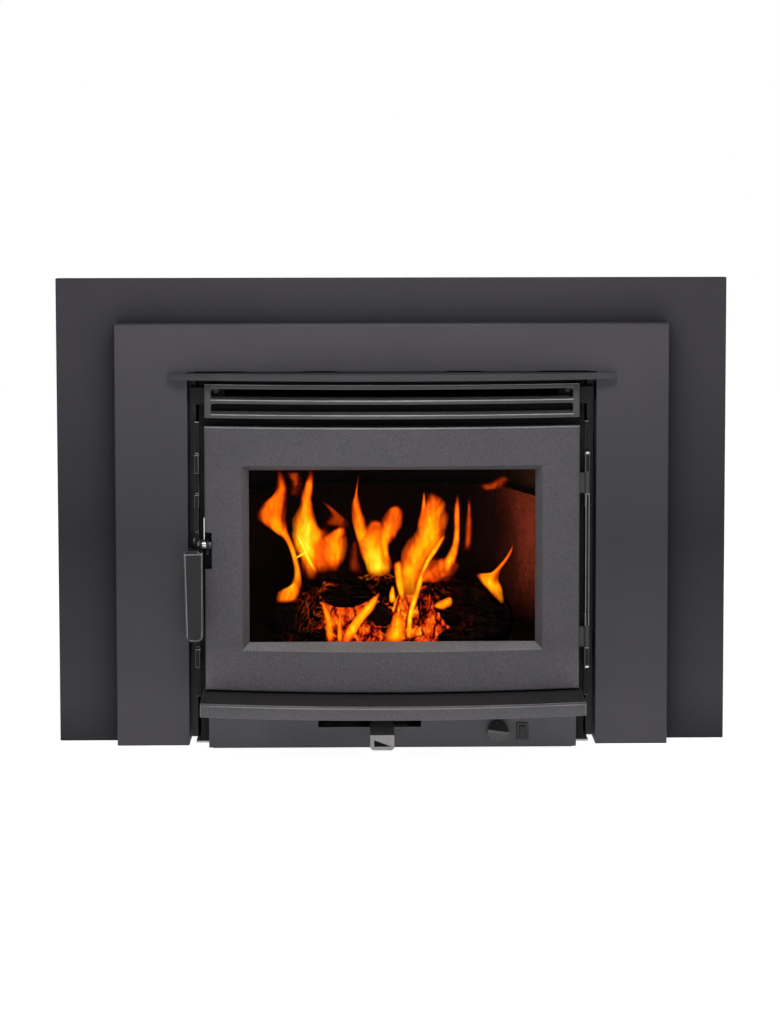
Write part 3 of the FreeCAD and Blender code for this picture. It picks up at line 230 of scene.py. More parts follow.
# painted shade: face plate darker above the grille, under the canopy
platePaint = finish("platePaint", (0.012, 0.0112, 0.012), 0.6, mottle=0.2, spec=0.15,
                    lightFade=("Z", 0.505, 0.515, 0.2))
tabSteel = finish("tabSteel", (0.26, 0.252, 0.258), 0.36, metal=0.35, grain=300, depth=0.05, mottle=0.06)
blackPlastic = finish("blackPlastic", (0.014, 0.014, 0.015), 0.16, grain=1200, depth=0.04, mottle=0.05,
                      spec=0.9)
# painted shade on the switch's downward-facing faces
switchPlastic = finish("switchPlastic", (0.026, 0.026, 0.028), 0.35, grain=1200, depth=0.04, mottle=0.05,
                       spec=0.3, underShade=0.3)
rubber = finish("rubber", (0.018, 0.018, 0.018), 0.7, mottle=0.1)
motorCan = finish("motorCan", (0.05, 0.05, 0.054), 0.45, grain=700, depth=0.1, mottle=0.1)


def clearGlass():
    mat = material("clearGlass")
    film = spread(mat, clouds(mat, coords(mat, "Object"), 7.0, 4.0), 0.3, 0.7, 0.3, 0.6)
    facing = addNode(mat, "ShaderNodeFresnel", IOR=1.09).outputs["Fac"]
    through = addNode(mat, "ShaderNodeBsdfTransparent", Color=(0.97, 0.96, 0.95, 1))
    shine = addNode(mat, "ShaderNodeBsdfGlossy", Roughness=0.05)
    mixed(mat, product(mat, facing, film), through.outputs["BSDF"], shine.outputs["BSDF"])
    return mat


def nearFire(mat, spot, middle, inner, outer):
    flat = vectors(mat, "MULTIPLY", spot, (1, 0, 1)).outputs["Vector"]
    away = vectors(mat, "DISTANCE", flat, middle).outputs["Value"]
    return spread(mat, away, inner, outer, 1.0, 0.0)


def glowSurface(mat, base, amount, stops, height, strength, distance, rough=0.95, spec=0.0):
    bump = addNode(mat, "ShaderNodeBump", Strength=strength, Distance=distance, Height=height)
    shader = addNode(mat, "ShaderNodeBsdfPrincipled", **{
        "Base Color": base, "Roughness": rough, "Specular IOR Level": spec, "Normal": bump.outputs["Normal"],
        "Emission Color": ramp(mat, amount, stops), "Emission Strength": 1.0})
    addNode(mat, "ShaderNodeOutputMaterial", Surface=shader.outputs["BSDF"])
    return mat


def warmth(mat):
    return addNode(mat, "ShaderNodeAttribute", attribute_name="warmth").outputs["Fac"]


coalBlack = (0.006, 0.003, 0.002, 1)


def charWood():
    mat = material("charWood")
    spot = coords(mat, "Object")
    bark = coords(mat, "UV")
    fibre = clouds(mat, mapped(mat, bark, (2.2, 19.0, 1.0)), 1.0, 6.0, 0.62, 0.7)
    tone = ramp(mat, fibre, [(0.46, (0.0004, 0.0003, 0.0002)), (0.58, (0.004, 0.0012, 0.0006)),
                             (0.74, (0.07, 0.02, 0.006))])
    swirl = clouds(mat, mapped(mat, bark, (0.9, 1.5, 1.0)), 1.0, 3.0, 0.55, 1.4)
    rings = combine(mat, "PINGPONG", combine(mat, "MULTIPLY", swirl, 7.0), 0.5)
    seam = spread(mat, rings, 0.0, 0.13, 1.0, 0.0)
    patch = spread(mat, clouds(mat, spot, 21.0, 3.0), 0.42, 0.6, 0.0, 1.0)
    near = nearFire(mat, spot, (-0.03, 0, 0.19), 0.07, 0.2)
    glow = [(0.1, (0, 0, 0)), (0.4, (0.16, 0.006, 0)), (0.7, (0.8, 0.09, 0.002)), (1.0, (1.0, 0.3, 0.01))]
    return glowSurface(mat, tone, product(mat, seam, patch, near), glow, fibre, 0.9, 0.004)


def glowWood():
    mat = material("glowWood")
    grain = coords(mat, "UV")
    along = mapped(mat, grain, (1.0, 0.32, 1.0))
    fibre = clouds(mat, along, 1.6, 5.0, 0.6, 0.9)
    bend = vectors(mat, "ADD", along, fibre.node.outputs["Color"]).outputs["Vector"]
    split = spread(mat, cells(mat, bend, 0.36), 0.01, 0.09, 0.1, 1.0)
    streak = spread(mat, fibre, 0.25, 0.75, -0.42, 0.42)
    patch = spread(mat, clouds(mat, grain, 0.5, 2.0), 0.3, 0.7, -0.22, 0.22)
    amount = product(mat, total(mat, warmth(mat), streak, patch), split)
    glow = [(0.05, (0.0, 0.0, 0.0)), (0.2, (0.22, 0.005, 0.0)), (0.42, (0.76, 0.036, 0.003)),
            (0.64, (0.98, 0.15, 0.004)), (0.85, (1.0, 0.36, 0.008)), (1.0, (1.0, 0.62, 0.02))]
    return glowSurface(mat, coalBlack, amount, glow, split, 0.8, 0.003)


def emberBed():
    mat = material("emberBed")
    spot = coords(mat, "Object")
    lean = mapped(mat, spot, (1.0, 1.0, 0.5), (0, 0.5, 0))
    heat = clouds(mat, lean, 44.0, 6.0, 0.6, 1.0)
    rim = spread(mat, cells(mat, lean, 46.0), 0.01, 0.16, 0.12, 1.0)
    fire = spread(mat, heat, 0.36, 0.66, 0.0, 1.0)
    near = nearFire(mat, spot, (-0.015, 0, 0.15), 0.07, 0.125)
    glow = [(0.02, (0.0, 0.0, 0.0)), (0.16, (0.22, 0.006, 0.0)), (0.38, (0.8, 0.045, 0.001)),
            (0.62, (1.0, 0.14, 0.002)), (0.9, (1.0, 0.4, 0.01))]
    return glowSurface(mat, coalBlack, product(mat, rim, fire, near), glow, heat, 0.8, 0.004, 0.9, 0.1)


def flameGas():
    mat = material("flameGas")
    stretch = mapped(mat, coords(mat, "Object"), (1.0, 1.0, 0.4))
    wisp = clouds(mat, stretch, 34.0, 2.0, 0.5, 0.6)
    lick = clouds(mat, stretch, 62.0, 4.0, 0.55, 0.9)
    sheet = coords(mat, "UV")
    edge = combine(mat, "PINGPONG", axis(mat, sheet, "X"), 0.5)
    core = combine(mat, "ADD", edge, spread(mat, wisp, 0.25, 0.75, -0.16, 0.16))
    body = spread(mat, core, 0.0, 0.25, 0.0, 1.0)
    ends = ramp(mat, axis(mat, sheet, "Y"), [(0.0, (0, 0, 0)), (0.2, (1, 1, 1)), (0.85, (1, 1, 1)),
                                             (1.0, (0, 0, 0))])
    warm = warmth(mat)
    thin = spread(mat, lick, 0.3, 0.6, 0.8, 1.0)
    faint = product(mat, thin, spread(mat, warm, 0.1, 0.36, 0.22, 1.0))
    alpha = product(mat, body, ends, faint)
    streak = spread(mat, lick, 0.25, 0.75, -0.2, 0.2)
    rim = spread(mat, core, 0.0, 0.45, -0.36, 0.1)
    tips = spread(mat, ends, 0.0, 1.0, -0.45, 0.0)
    tone = ramp(mat, total(mat, warm, streak, rim, tips),
                [(0.0, (0.12, 0.005, 0.0)), (0.2, (0.5, 0.035, 0.0005)), (0.4, (0.88, 0.1, 0.002)),
                 (0.6, (1.0, 0.22, 0.001)), (0.8, (1.0, 0.42, 0.003)), (1.0, (1.0, 0.7, 0.025))])
    fire = addNode(mat, "ShaderNodeEmission", Color=tone, Strength=1.45)
    through = addNode(mat, "ShaderNodeBsdfTransparent")
    mixed(mat, alpha, through.outputs["BSDF"], fire.outputs["Emission"])
    return mat


glassPane = clearGlass()
charred = charWood()
embers = emberBed()
glowing = glowWood()
flames = flameGas()
print("materials made", len(bpy.data.materials))

nodeFinish = {
    panelPaint: ["outer_surround"],
    trimPaint: ["inner_surround"],
    canopyPaint: ["canopy"],
    castPaint: ["door_frame"],
    grillePaint: ["grille"],
    lipPaint: ["ash_lip"],
    tapeAndShadeBlack: ["glass_tape"],
    platePaint: ["face_plate"],
    stovePaint: ["grille_screws", "jacket_left", "jacket_right", "jacket_corners", "jacket_back",
                 "jacket_top"],
    columnPaint: ["left_column", "right_column", "grille_brackets"],
    fasciaPaint: ["base_fascia"],
    firePlate: ["firebox_shell", "air_channels", "air_tubes", "air_duct", "flue_collar"],
    zincSheet: ["base_pan", "surround_straps", "damper_guides", "damper_plate",
                "motor_cradle", "fan_scrolls", "fan_wheels"],
    brick: ["right_bricks", "floor_bricks"],
    darkBrick: ["left_bricks", "back_bricks"],
    board: ["baffle_board"],
    glassPane: ["door_glass"],
    ropeBraid: ["door_rope"],
    handleIron: ["handle_grip", "latch_lever", "latch_bracket"],
    dullSteel: ["pivot_bolt", "pivot_nut", "latch_keeper"],
    brightSteel: ["pivot_bush", "latch_spring", "hinge_pins", "fan_shaft",
                  "glass_clips", "clip_screws", "collar_bolts"],
    tabSteel: ["air_tab"],
    blackPlastic: ["speed_knob", "speed_control", "heat_sensor"],
    switchPlastic: ["switch_bezel", "switch_rocker"],
    rubber: ["cord_inlet"],
    motorCan: ["fan_motor"],
}
softEdge = {  # bevel width in mm
    0.3: ["switch_bezel", "outer_surround", "inner_surround"],
    0.4: ["grille_brackets", "jacket_left", "jacket_right", "surround_straps", "jacket_top", "base_pan",
          "collar_bolts"],
    0.5: ["canopy", "latch_lever", "latch_bracket", "fan_motor"],
    0.6: ["base_fascia", "face_plate", "flue_collar"],
    0.8: ["ash_lip"],
    0.9: ["handle_grip"],
    1.0: ["baffle_board"],
    1.2: ["left_column", "right_column", "floor_bricks", "left_bricks", "right_bricks", "back_bricks"],
}
highlightedParts = ("left_column", "right_column", "handle_grip", "ash_lip")  # painted highlight on their bevelled edges
weldReach = 0.000002
for mat, names in nodeFinish.items():
    for name in names:
        mesh = nodes[name].data
        mesh.materials.clear()
        mesh.materials.append(mat)
for width, names in softEdge.items():
    for name in names:
        weld = nodes[name].modifiers.new("weld", "WELD")
        weld.merge_threshold = weldReach
        edge = nodes[name].modifiers.new("edge", "BEVEL")
        edge.width = width * mm
        edge.segments = 2
        edge.limit_method = "ANGLE"
        edge.angle_limit = math.radians(40)
        edge.harden_normals = True
        # the bevels of these parts take the painted edge highlight
        if name in highlightedParts:
            nodes[name].data.materials.append(edgeHighlight)
            edge.material = 1
            edge.use_clamp_overlap = False
print("CAD nodes finished")


def build(name, bm, mat, body, covers=(), angle=35, extras=()):
    bmesh.ops.recalc_face_normals(bm, faces=bm.faces)
    mesh = bpy.data.meshes.new(name)
    bm.to_mesh(mesh)
    bm.free()
    mesh.materials.append(mat)
    for extra in extras:
        mesh.materials.append(extra)
    for face in mesh.polygons:
        face.use_smooth = True
    mesh.set_sharp_from_angle(angle=math.radians(angle))
    made = bpy.data.objects.new(name, mesh)
    scene.collection.objects.link(made)
    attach(made, body)
    if covers:
        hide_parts(*covers)
    return made


def boxInto(bm, x, y, z, bevel=0.0):
    fresh = bmesh.ops.create_cube(bm, size=1.0)["verts"]
    for v in fresh:
        v.co = Vector([span[c > 0] * mm for span, c in zip((x, y, z), v.co)])
    if bevel:
        edges = list(dict.fromkeys(e for v in fresh for e in v.link_edges))  # each edge once, in order
        bmesh.ops.bevel(bm, geom=edges, offset=bevel * mm, offset_type="OFFSET", segments=2, profile=0.5,
                        affect="EDGES", material=-1)


def rodInto(bm, start, end, radius, sides=32):
    a, b = Vector(start) * mm, Vector(end) * mm
    turn = (b - a).to_track_quat("Z", "Y").to_matrix().to_4x4()
    place = Matrix.Translation((a + b) / 2) @ turn
    bmesh.ops.create_cone(bm, cap_ends=True, segments=sides, radius1=radius * mm, radius2=radius * mm,
                          depth=(b - a).length, matrix=place)


def ringLoop(bm, half, low, high, y, bow, across, up):
    spots = [(-half + 2 * half * k / across, low) for k in range(across)]
    spots += [(half, low + (high - low) * k / up) for k in range(up)]
    spots += [(half - 2 * half * k / across, high) for k in range(across)]
    spots += [(-half, high - (high - low) * k / up) for k in range(up)]
    return [bm.verts.new((x * mm, (y + bow * bowShift(x)) * mm, z * mm)) for x, z in spots]


def joinLoops(bm, loops, closed=True):
    count = len(loops[0])
    following = loops[1:] + loops[:1] if closed else loops[1:]
    for a, b in zip(loops, following):
        for k in range(count):
            bm.faces.new((a[k], a[(k + 1) % count], b[(k + 1) % count], b[k]))


def plateInto(bm, outlines, y0, y1):
    edges = []
    for outline in outlines:
        ring = [bm.verts.new((x * mm, y0 * mm, z * mm)) for x, z in outline]
        edges += [bm.edges.new((ring[k], ring[(k + 1) % len(ring)])) for k in range(len(ring))]
    filled = bmesh.ops.triangle_fill(bm, use_beauty=True, use_dissolve=False, edges=edges)
    faces = [part for part in filled["geom"] if isinstance(part, bmesh.types.BMFace)]
    grown = bmesh.ops.extrude_face_region(bm, geom=faces)
    moved = [part for part in grown["geom"] if isinstance(part, bmesh.types.BMVert)]
    bmesh.ops.translate(bm, vec=(0, (y1 - y0) * mm, 0), verts=moved)


def paintEdgeHighlight(bm, low, high, above):
    bmesh.ops.recalc_face_normals(bm, faces=bm.faces)
    for face in bm.faces:
        upward = low < face.normal.z < high and face.normal.y < -0.2
        if upward and face.calc_center_median().z > above * mm:
            face.material_index = 1  # painted highlight on edges that face up and out


def carve(target, x, y, z):
    cutter = bmesh.new()
    boxInto(cutter, x, y, z)
    bmesh.ops.recalc_face_normals(cutter, faces=cutter.faces)
    mesh = bpy.data.meshes.new("cutter")
    cutter.to_mesh(mesh)
    cutter.free()
    tool = bpy.data.objects.new("cutter", mesh)
    scene.collection.objects.link(tool)
    cut = target.modifiers.new("cut", "BOOLEAN")
    cut.operation = "DIFFERENCE"
    cut.solver = "EXACT"
    cut.object = tool
    bpy.context.view_layer.update()
    result = bpy.data.meshes.new_from_object(target.evaluated_get(bpy.context.evaluated_depsgraph_get()))
    target.modifiers.clear()
    target.data = result
    bpy.data.objects.remove(tool)


doorSize = {
    "outer": (297.0, 90.5, 511.0),  # half width, low, high
    "bevel": (237.0, 156.5, 449.0),
    "glass": (226.8, 166.0, 441.0),
    "front": -89.0, "back": -46.0, "seat": -56.0, "edge": 0.8, "round": 3.0, "steps": 5,
    "insets": (12, 40), "across": 48, "up": 6, "highlightBand": (0.25, 0.97, 4), "slack": (3, 1),  # painted edge highlight band: tilt, drop
    "bevelSteps": ((2.4, 0.0), (1.0, 0.35), (0.0, 1.3)),  # growth, depth
    "glassSteps": ((0.5, -2.2), (0.0, -1.2), (0.0, 0.02)),
    "rear": [  # half width, low, high, depth, share of the bow
        (241.8, 151.0, 456.0, -55.98, 0),
        (241.8, 151.0, 456.0, -46.6, 0),
        (242.4, 150.4, 456.6, -46.0, 0),
        (255.4, 137.4, 469.6, -46.0, 0),
        (256.0, 136.8, 470.2, -46.6, 0),
        (256.0, 136.8, 470.2, -81.0, 1),  # hollow behind the front skin
        (271.0, 116.5, 485.0, -81.0, 1),
        (271.0, 116.5, 485.0, -46.6, 0),
        (271.6, 115.9, 485.6, -46.0, 0),
        (275.5, 112.0, 489.5, -46.0, 0),
        (275.5, 112.0, 489.5, -52.5, 0),  # rope groove
        (288.5, 99.0, 502.5, -52.5, 0),
        (288.5, 99.0, 502.5, -46.0, 0)],
}
doorNotch = {"x": (-300, -285.5), "y": (-95, -54.0), "z": (284.5, 342.7), "skin": 0.2, "slack": 0.1,
             "lip": 0.3}
doorEar = {"x": (295.5, 307.0), "y": (-58, -52), "spans": ((402.8, 435.8), (156.5, 189.5)), "soft": 1.0,
           "pin": (309.3, -56), "radius": 5.0}


def grown(box, by):
    half, low, high = box
    return half + by, low - by, high + by


def doorRings():
    d = doorSize
    rims = [(d["edge"], d["back"], 0), (0, d["back"] - d["edge"], 0)]
    for step in range(d["steps"] + 1):
        angle = math.pi / 2 * step / d["steps"]
        rims.append((d["round"] * (1 - math.cos(angle)), d["front"] + d["round"] * (1 - math.sin(angle)), 1))
    rims += [(inset, d["front"], 1) for inset in d["insets"]]
    rings = [(*grown(d["outer"], -inset), y, bow) for inset, y, bow in rims]
    rings += [(*grown(d["bevel"], by), d["front"] + deep, 1) for by, deep in d["bevelSteps"]]
    rings += [(*grown(d["glass"], by), d["seat"] + deep, 0) for by, deep in d["glassSteps"]]
    return rings + d["rear"]


def doorFrame():
    d = doorSize
    bm = bmesh.new()
    joinLoops(bm, [ringLoop(bm, *ring, d["across"], d["up"]) for ring in doorRings()])
    low, high, drop = d["highlightBand"]
    paintEdgeHighlight(bm, low, high, d["outer"][2] - drop)
    sill = (d["bevel"][1] - d["slack"][0], d["glass"][1] + d["slack"][1])
    for face in bm.faces:
        spot = face.calc_center_median() / mm
        if face.normal.z > 0.5 and sill[0] < spot.z < sill[1] and d["front"] < spot.y < d["seat"]:
            face.material_index = 2  # painted light on the window sill
    lightAndShadeSlots = (edgeHighlight, litSillPaint, tapeAndShadeBlack)
    made = build("doorFrame", bm, castPaint, "door", ["door_frame"], 40, lightAndShadeSlots)
    n = doorNotch
    carve(made, n["x"], n["y"], n["z"])
    for face in made.data.polygons:
        spot = face.center / mm
        inside = n["skin"] - d["outer"][0] < spot.x < n["x"][1] + n["slack"]
        level = n["z"][0] - n["slack"] < spot.z < n["z"][1] + n["slack"]
        if inside and level and d["front"] + bowShift(spot.x) + n["lip"] < spot.y < n["y"][1] + n["slack"]:
            face.material_index = 3  # painted shade on the walls of the latch notch
    e = doorEar
    extra = bmesh.new()
    for low, high in e["spans"]:
        boxInto(extra, e["x"], e["y"], (low, high), e["soft"])
        rodInto(extra, (*e["pin"], low), (*e["pin"], high), e["radius"])
    build("doorEars", extra, stovePaint, "door")


doorFrame()

grilleSize = {
    "half": 296.0, "stile": 10.4, "front": -89.0, "depth": 10.0, "back": -52.0, "low": 524.5, "high": 578.0,
    "across": 48, "lap": 1, "soft": 0.9, "proud": 0.5, "fillet": 5.0, "filletSteps": 8, "filletSet": 0.4,
    "filletDepth": 8, "highlightBand": (0.12, 0.8),
    "bars": ((524.5, 530.3, 535.7), (547.6, 553.4, 558.8), (570.7, 578.0, 578.0)),  # low, front and rear top
}


def sweepBow(bm, profile, x0, x1, count):
    rings = []
    for k in range(count + 1):
        x = x0 + (x1 - x0) * k / count
        rings.append([bm.verts.new((x * mm, (y + bowShift(x)) * mm, z * mm)) for y, z in profile])
    joinLoops(bm, rings, False)
    bm.faces.new(rings[0])
    bm.faces.new(rings[-1][::-1])


def softProfile(points, radius):
    made = []
    count = len(points)
    for k in range(count):
        here, before, after = Vector(points[k]), Vector(points[k - 1]), Vector(points[(k + 1) % count])
        a = here + (before - here).normalized() * radius
        b = here + (after - here).normalized() * radius
        made += [tuple(a), tuple((a + b + here * 2) / 4), tuple(b)]
    return made


def slotFillet(bm, x, sign, z, way):
    g = grilleSize
    r = g["fillet"]
    start = g["front"] + bowShift(x) + g["filletSet"]
    angles = [k * math.pi / 2 / g["filletSteps"] for k in range(g["filletSteps"] + 1)]
    curve = [(x - sign * r * (1 - math.sin(a)), z + way * r * (1 - math.cos(a))) for a in angles]
    plateInto(bm, [[(x + sign, z - way), *curve[::-1]]], start, start + g["filletDepth"])


def grille():
    g = grilleSize
    bm = bmesh.new()
    front, back = g["front"], g["front"] + g["depth"]
    opening = g["half"] - g["stile"]
    inner = opening + g["lap"]
    for low, nose, rear in g["bars"]:
        bar = [(front, low), (front, nose), (back, rear), (back, low)]
        sweepBow(bm, softProfile(bar, g["soft"]), -inner, inner, g["across"])
    end = front + bowShift(g["half"])
    for sign in (-1, 1):
        x = sorted((sign * opening, sign * g["half"]))
        boxInto(bm, x, (end - g["proud"], g["back"]), (g["low"], g["high"]), g["soft"])
    for below, above in zip(g["bars"], g["bars"][1:]):
        for sign in (-1, 1):
            slotFillet(bm, sign * opening, sign, below[1], 1)
            slotFillet(bm, sign * opening, sign, above[0], -1)
    # painted highlight on the bar edges that face up and out
    paintEdgeHighlight(bm, *g["highlightBand"], g["low"])
    build("grilleBars", bm, grillePaint, "insert", ["grille"], 30, (barHighlight,))


grille()

canopyCorner = {"inner": 317.0, "outer": 323.2, "y": (-56.0, -0.3), "z": (593.6, 594.9)}  # closes a light gap


def canopyCorners():
    c = canopyCorner
    bm = bmesh.new()
    for sign in (-1, 1):
        boxInto(bm, sorted((sign * c["inner"], sign * c["outer"])), c["y"], c["z"])
    build("canopyCorners", bm, canopyPaint, "insert")


canopyCorners()
print("door and grille made")

airTabSize = {"x": (-36.0, 1.5), "front": -149.0, "thick": 3.0, "top": 38.0, "bottom": 14.0, "corner": 4.0,
              "nick": 0.6, "soft": 0.4, "lap": 0.2, "riser": -14.0, "shelf": 55.0, "tongue": 6.0,
              "cut": [(-29.9, 30.2), (-1.9, 19.8), (-29.9, 19.8)], "shadeSheet": (1.2, 2.0)}


def airTab():
    a = airTabSize
    left, right = a["x"]
    low, high, corner, nick, thick = a["bottom"], a["top"], a["corner"], a["nick"], a["thick"]
    bm = bmesh.new()
    outline = [(left, high - nick), (left + nick, high), (right - nick, high), (right, high - nick),
               (right, low + corner), (right - corner, low), (left + corner, low), (left, low + corner)]
    plateInto(bm, [outline, a["cut"]], a["front"], a["front"] + thick)
    boxInto(bm, a["x"], (a["front"] + thick - a["lap"], a["riser"]), (high - thick, high), a["soft"])
    boxInto(bm, a["x"], (a["riser"] - thick, a["riser"]), (high - thick, a["shelf"]), a["soft"])
    boxInto(bm, a["x"], (a["riser"] - thick, a["tongue"]), (a["shelf"] - thick, a["shelf"]), a["soft"])
    build("airTab", bm, tabSteel, "air_control", ["air_tab"], 30)
    # a black sheet behind the cut-out paints shade there
    back = bmesh.new()
    plateInto(back, [a["cut"]], *[a["front"] + deep for deep in a["shadeSheet"]])
    build("tabShadeSheet", back, tapeAndShadeBlack, "air_control")


airTab()
print("air tab made")

fireWindow = {"left": -230.0, "width": 463.4, "low": 144.0, "height": 279.7, "depth": 60.0}


def fireSpot(u, v, y):  # u and v in hundredths of the window, as the camera sees it
    w = fireWindow
    eye = Vector(cameraSet["place"]) / mm
    x = w["left"] + w["width"] * u / 100
    z = w["low"] + w["height"] * v / 100
    reach = (y - eye.y) / (w["depth"] - eye.y)
    return Vector((eye.x + (x - eye.x) * reach, y, eye.z + (z - eye.z) * reach))


logShapes = [
    {"name": "logMiddle", "from": (-118, 52, 218), "to": (30, 62, 226), "radius": 27, "seed": 7.1},
    {"name": "logLeft", "from": (-188, 20, 176), "to": (-120, 95, 205), "radius": 33, "seed": 2.3},
    {"name": "logRight", "from": (52, 70, 212), "to": (190, 18, 172), "radius": 41, "seed": 4.7},
    {"name": "logBack", "from": (-180, 150, 175), "to": (185, 140, 180), "radius": 40, "seed": 9.9},
    {"name": "logFront", "from": (-70, 12, 165), "to": (5, 2, 184), "radius": 21, "seed": 5.2},
    {"name": "logLow", "from": (-165, -8, 150), "to": (-95, 10, 158), "radius": 19, "seed": 3.4},
    {"name": "logEnd", "from": (70, -12, 152), "to": (150, 4, 158), "radius": 22, "seed": 8.2},
]
logForm = {"steps": 44, "sides": 48, "straight": 0.82, "taper": 0.5, "girth": 1.1, "run": 2.2,
           "knots": ((1.0, 0.25), (3.1, 0.15), (8.3, 0.1)), "uvLength": 50, "uvGirth": 8}


def logRing(bm, shape, t, middle, side, lift):
    f = logForm
    taper = 1.0 - f["taper"] * max(0, abs(2 * t - 1) - f["straight"]) / (1 - f["straight"])
    ring = []
    for k in range(f["sides"]):
        angle = 2 * math.pi * k / f["sides"]
        around = (math.cos(angle) * f["girth"], math.sin(angle) * f["girth"])
        probe = Vector((*around, t * f["run"] + shape["seed"]))
        rough = 1 + sum(amount * noise.noise(probe * scale) for scale, amount in f["knots"])
        out = (side * math.cos(angle) + lift * math.sin(angle)) * (shape["radius"] * rough * taper)
        ring.append(bm.verts.new((middle + out) * mm))
    return ring


def logPiece(shape):
    f = logForm
    steps, sides = f["steps"], f["sides"]
    bm = bmesh.new()
    layer = bm.loops.layers.uv.new("UVMap")
    a, b = Vector(shape["from"]), Vector(shape["to"])
    length = (b - a).length
    along = (b - a).normalized()
    side = along.cross(Vector((0, 0, 1))).normalized()
    lift = side.cross(along)
    rings = [logRing(bm, shape, i / steps, a.lerp(b, i / steps), side, lift) for i in range(steps + 1)]
    for i in range(steps):
        for k in range(sides):
            spots = ((i, k), (i, k + 1), (i + 1, k + 1), (i + 1, k))
            face = bm.faces.new([rings[row][turn % sides] for row, turn in spots])
            for corner, (row, turn) in zip(face.loops, spots):
                u = row / steps * length / f["uvLength"] + shape["seed"]
                corner[layer].uv = (u, turn / sides * shape["radius"] / f["uvGirth"])
    bm.faces.new(rings[0])
    bm.faces.new(rings[-1][::-1])
    build(shape["name"], bm, charred, "insert", (), 50)


for shape in logShapes:
    logPiece(shape)

emberMound = {
    "x": (-205, 205), "y": (-30, 170), "columns": 150, "rows": 72, "floor": 130.6,
    "rise": 74, "reach": 104, "middle": -15, "frontRun": 34, "rearRun": 60, "sideRun": 30,
    "lumps": ((13, 21), (6, 9)), "grit": (3, 4),  # height, spacing
    "coals": 46, "seed": 11, "size": (6, 12), "coalX": (-10, 95), "coalY": (-22, 60), "coalLimit": 195,
    "sunk": 0.2, "stretch": ((1.2, 2), (0.6, 1), (0.5, 0.9)), "turn": (0, 6), "ragged": (0.6, 120),
}


def moundHeight(x, y):
    e = emberMound
    front = min(1, max(0, (y - e["y"][0]) / e["frontRun"]))
    rear = min(1, max(0, (e["y"][1] - y) / e["rearRun"]))
    side = min(1, max(0, (e["x"][1] - abs(x)) / e["sideRun"]))
    hill = e["rise"] * math.exp(-((x - e["middle"]) / e["reach"]) ** 2) * math.sqrt(front) * rear
    probe = Vector((x, y, 0))
    lumps = sum(tall * abs(noise.noise(probe / wide)) for tall, wide in e["lumps"])
    lumps += e["grit"][0] * noise.noise(probe / e["grit"][1])
    return e["floor"] + (hill + max(0, lumps)) * side * math.sqrt(front) * math.sqrt(rear)


def emberHeap():
    e = emberMound
    bm = bmesh.new()
    grid = []
    xs = [e["x"][0] + (e["x"][1] - e["x"][0]) * k / e["columns"] for k in range(e["columns"] + 1)]
    for row in range(e["rows"] + 1):
        y = e["y"][0] + (e["y"][1] - e["y"][0]) * row / e["rows"]
        grid.append([bm.verts.new((x * mm, y * mm, moundHeight(x, y) * mm)) for x in xs])
    for low, high in zip(grid, grid[1:]):
        for k in range(e["columns"]):
            bm.faces.new((low[k], low[k + 1], high[k + 1], high[k]))
    build("emberHeap", bm, embers, "insert", (), 80)


def looseCoals():
    e = emberMound
    pick = random.Random(e["seed"])
    bm = bmesh.new()
    for _ in range(e["coals"]):
        x = pick.gauss(*e["coalX"])
        y = pick.uniform(*e["coalY"])
        size = pick.uniform(*e["size"])
        held = max(-e["coalLimit"], min(e["coalLimit"], x))
        middle = Vector((held, y, moundHeight(x, y) + size * e["sunk"])) * mm
        squash = Matrix.Diagonal((*[pick.uniform(*span) for span in e["stretch"]], 1))
        turn = Matrix.Rotation(pick.uniform(*e["turn"]), 4, "Z")
        turn = turn @ Matrix.Rotation(pick.uniform(*e["turn"]), 4, "X")
        place = Matrix.Translation(middle) @ turn @ squash
        fresh = bmesh.ops.create_icosphere(bm, subdivisions=3, radius=size * mm, matrix=place)["verts"]
        amount, scale = e["ragged"]
        for v in fresh:
            v.co += (v.co - middle) * amount * noise.noise(v.co * scale)
    build("coals", bm, embers, "insert", (), 60)


emberHeap()
looseCoals()


def curveAt(points, t):  # smooth curve through the points
    spans = len(points) - 1
    at = min(int(t * spans), spans - 1)
    u = t * spans - at
    p = [points[max(0, min(spans, at + k))] for k in (-1, 0, 1, 2)]
    made = []
    for a, b, c, d in zip(*p):
        square = (2 * a - 5 * b + 4 * c - d) * u * u
        cube = (3 * b - a - 3 * c + d) * u ** 3
        made.append(0.5 * (2 * b + (c - a) * u + square + cube))
    return made


def sheetSpot(shape, t, s):
    leftU, leftV = curveAt(shape["left"], t)
    rightU, rightV = curveAt(shape["right"], t)
    return leftU + (rightU - leftU) * s, leftV + (rightV - leftV) * s


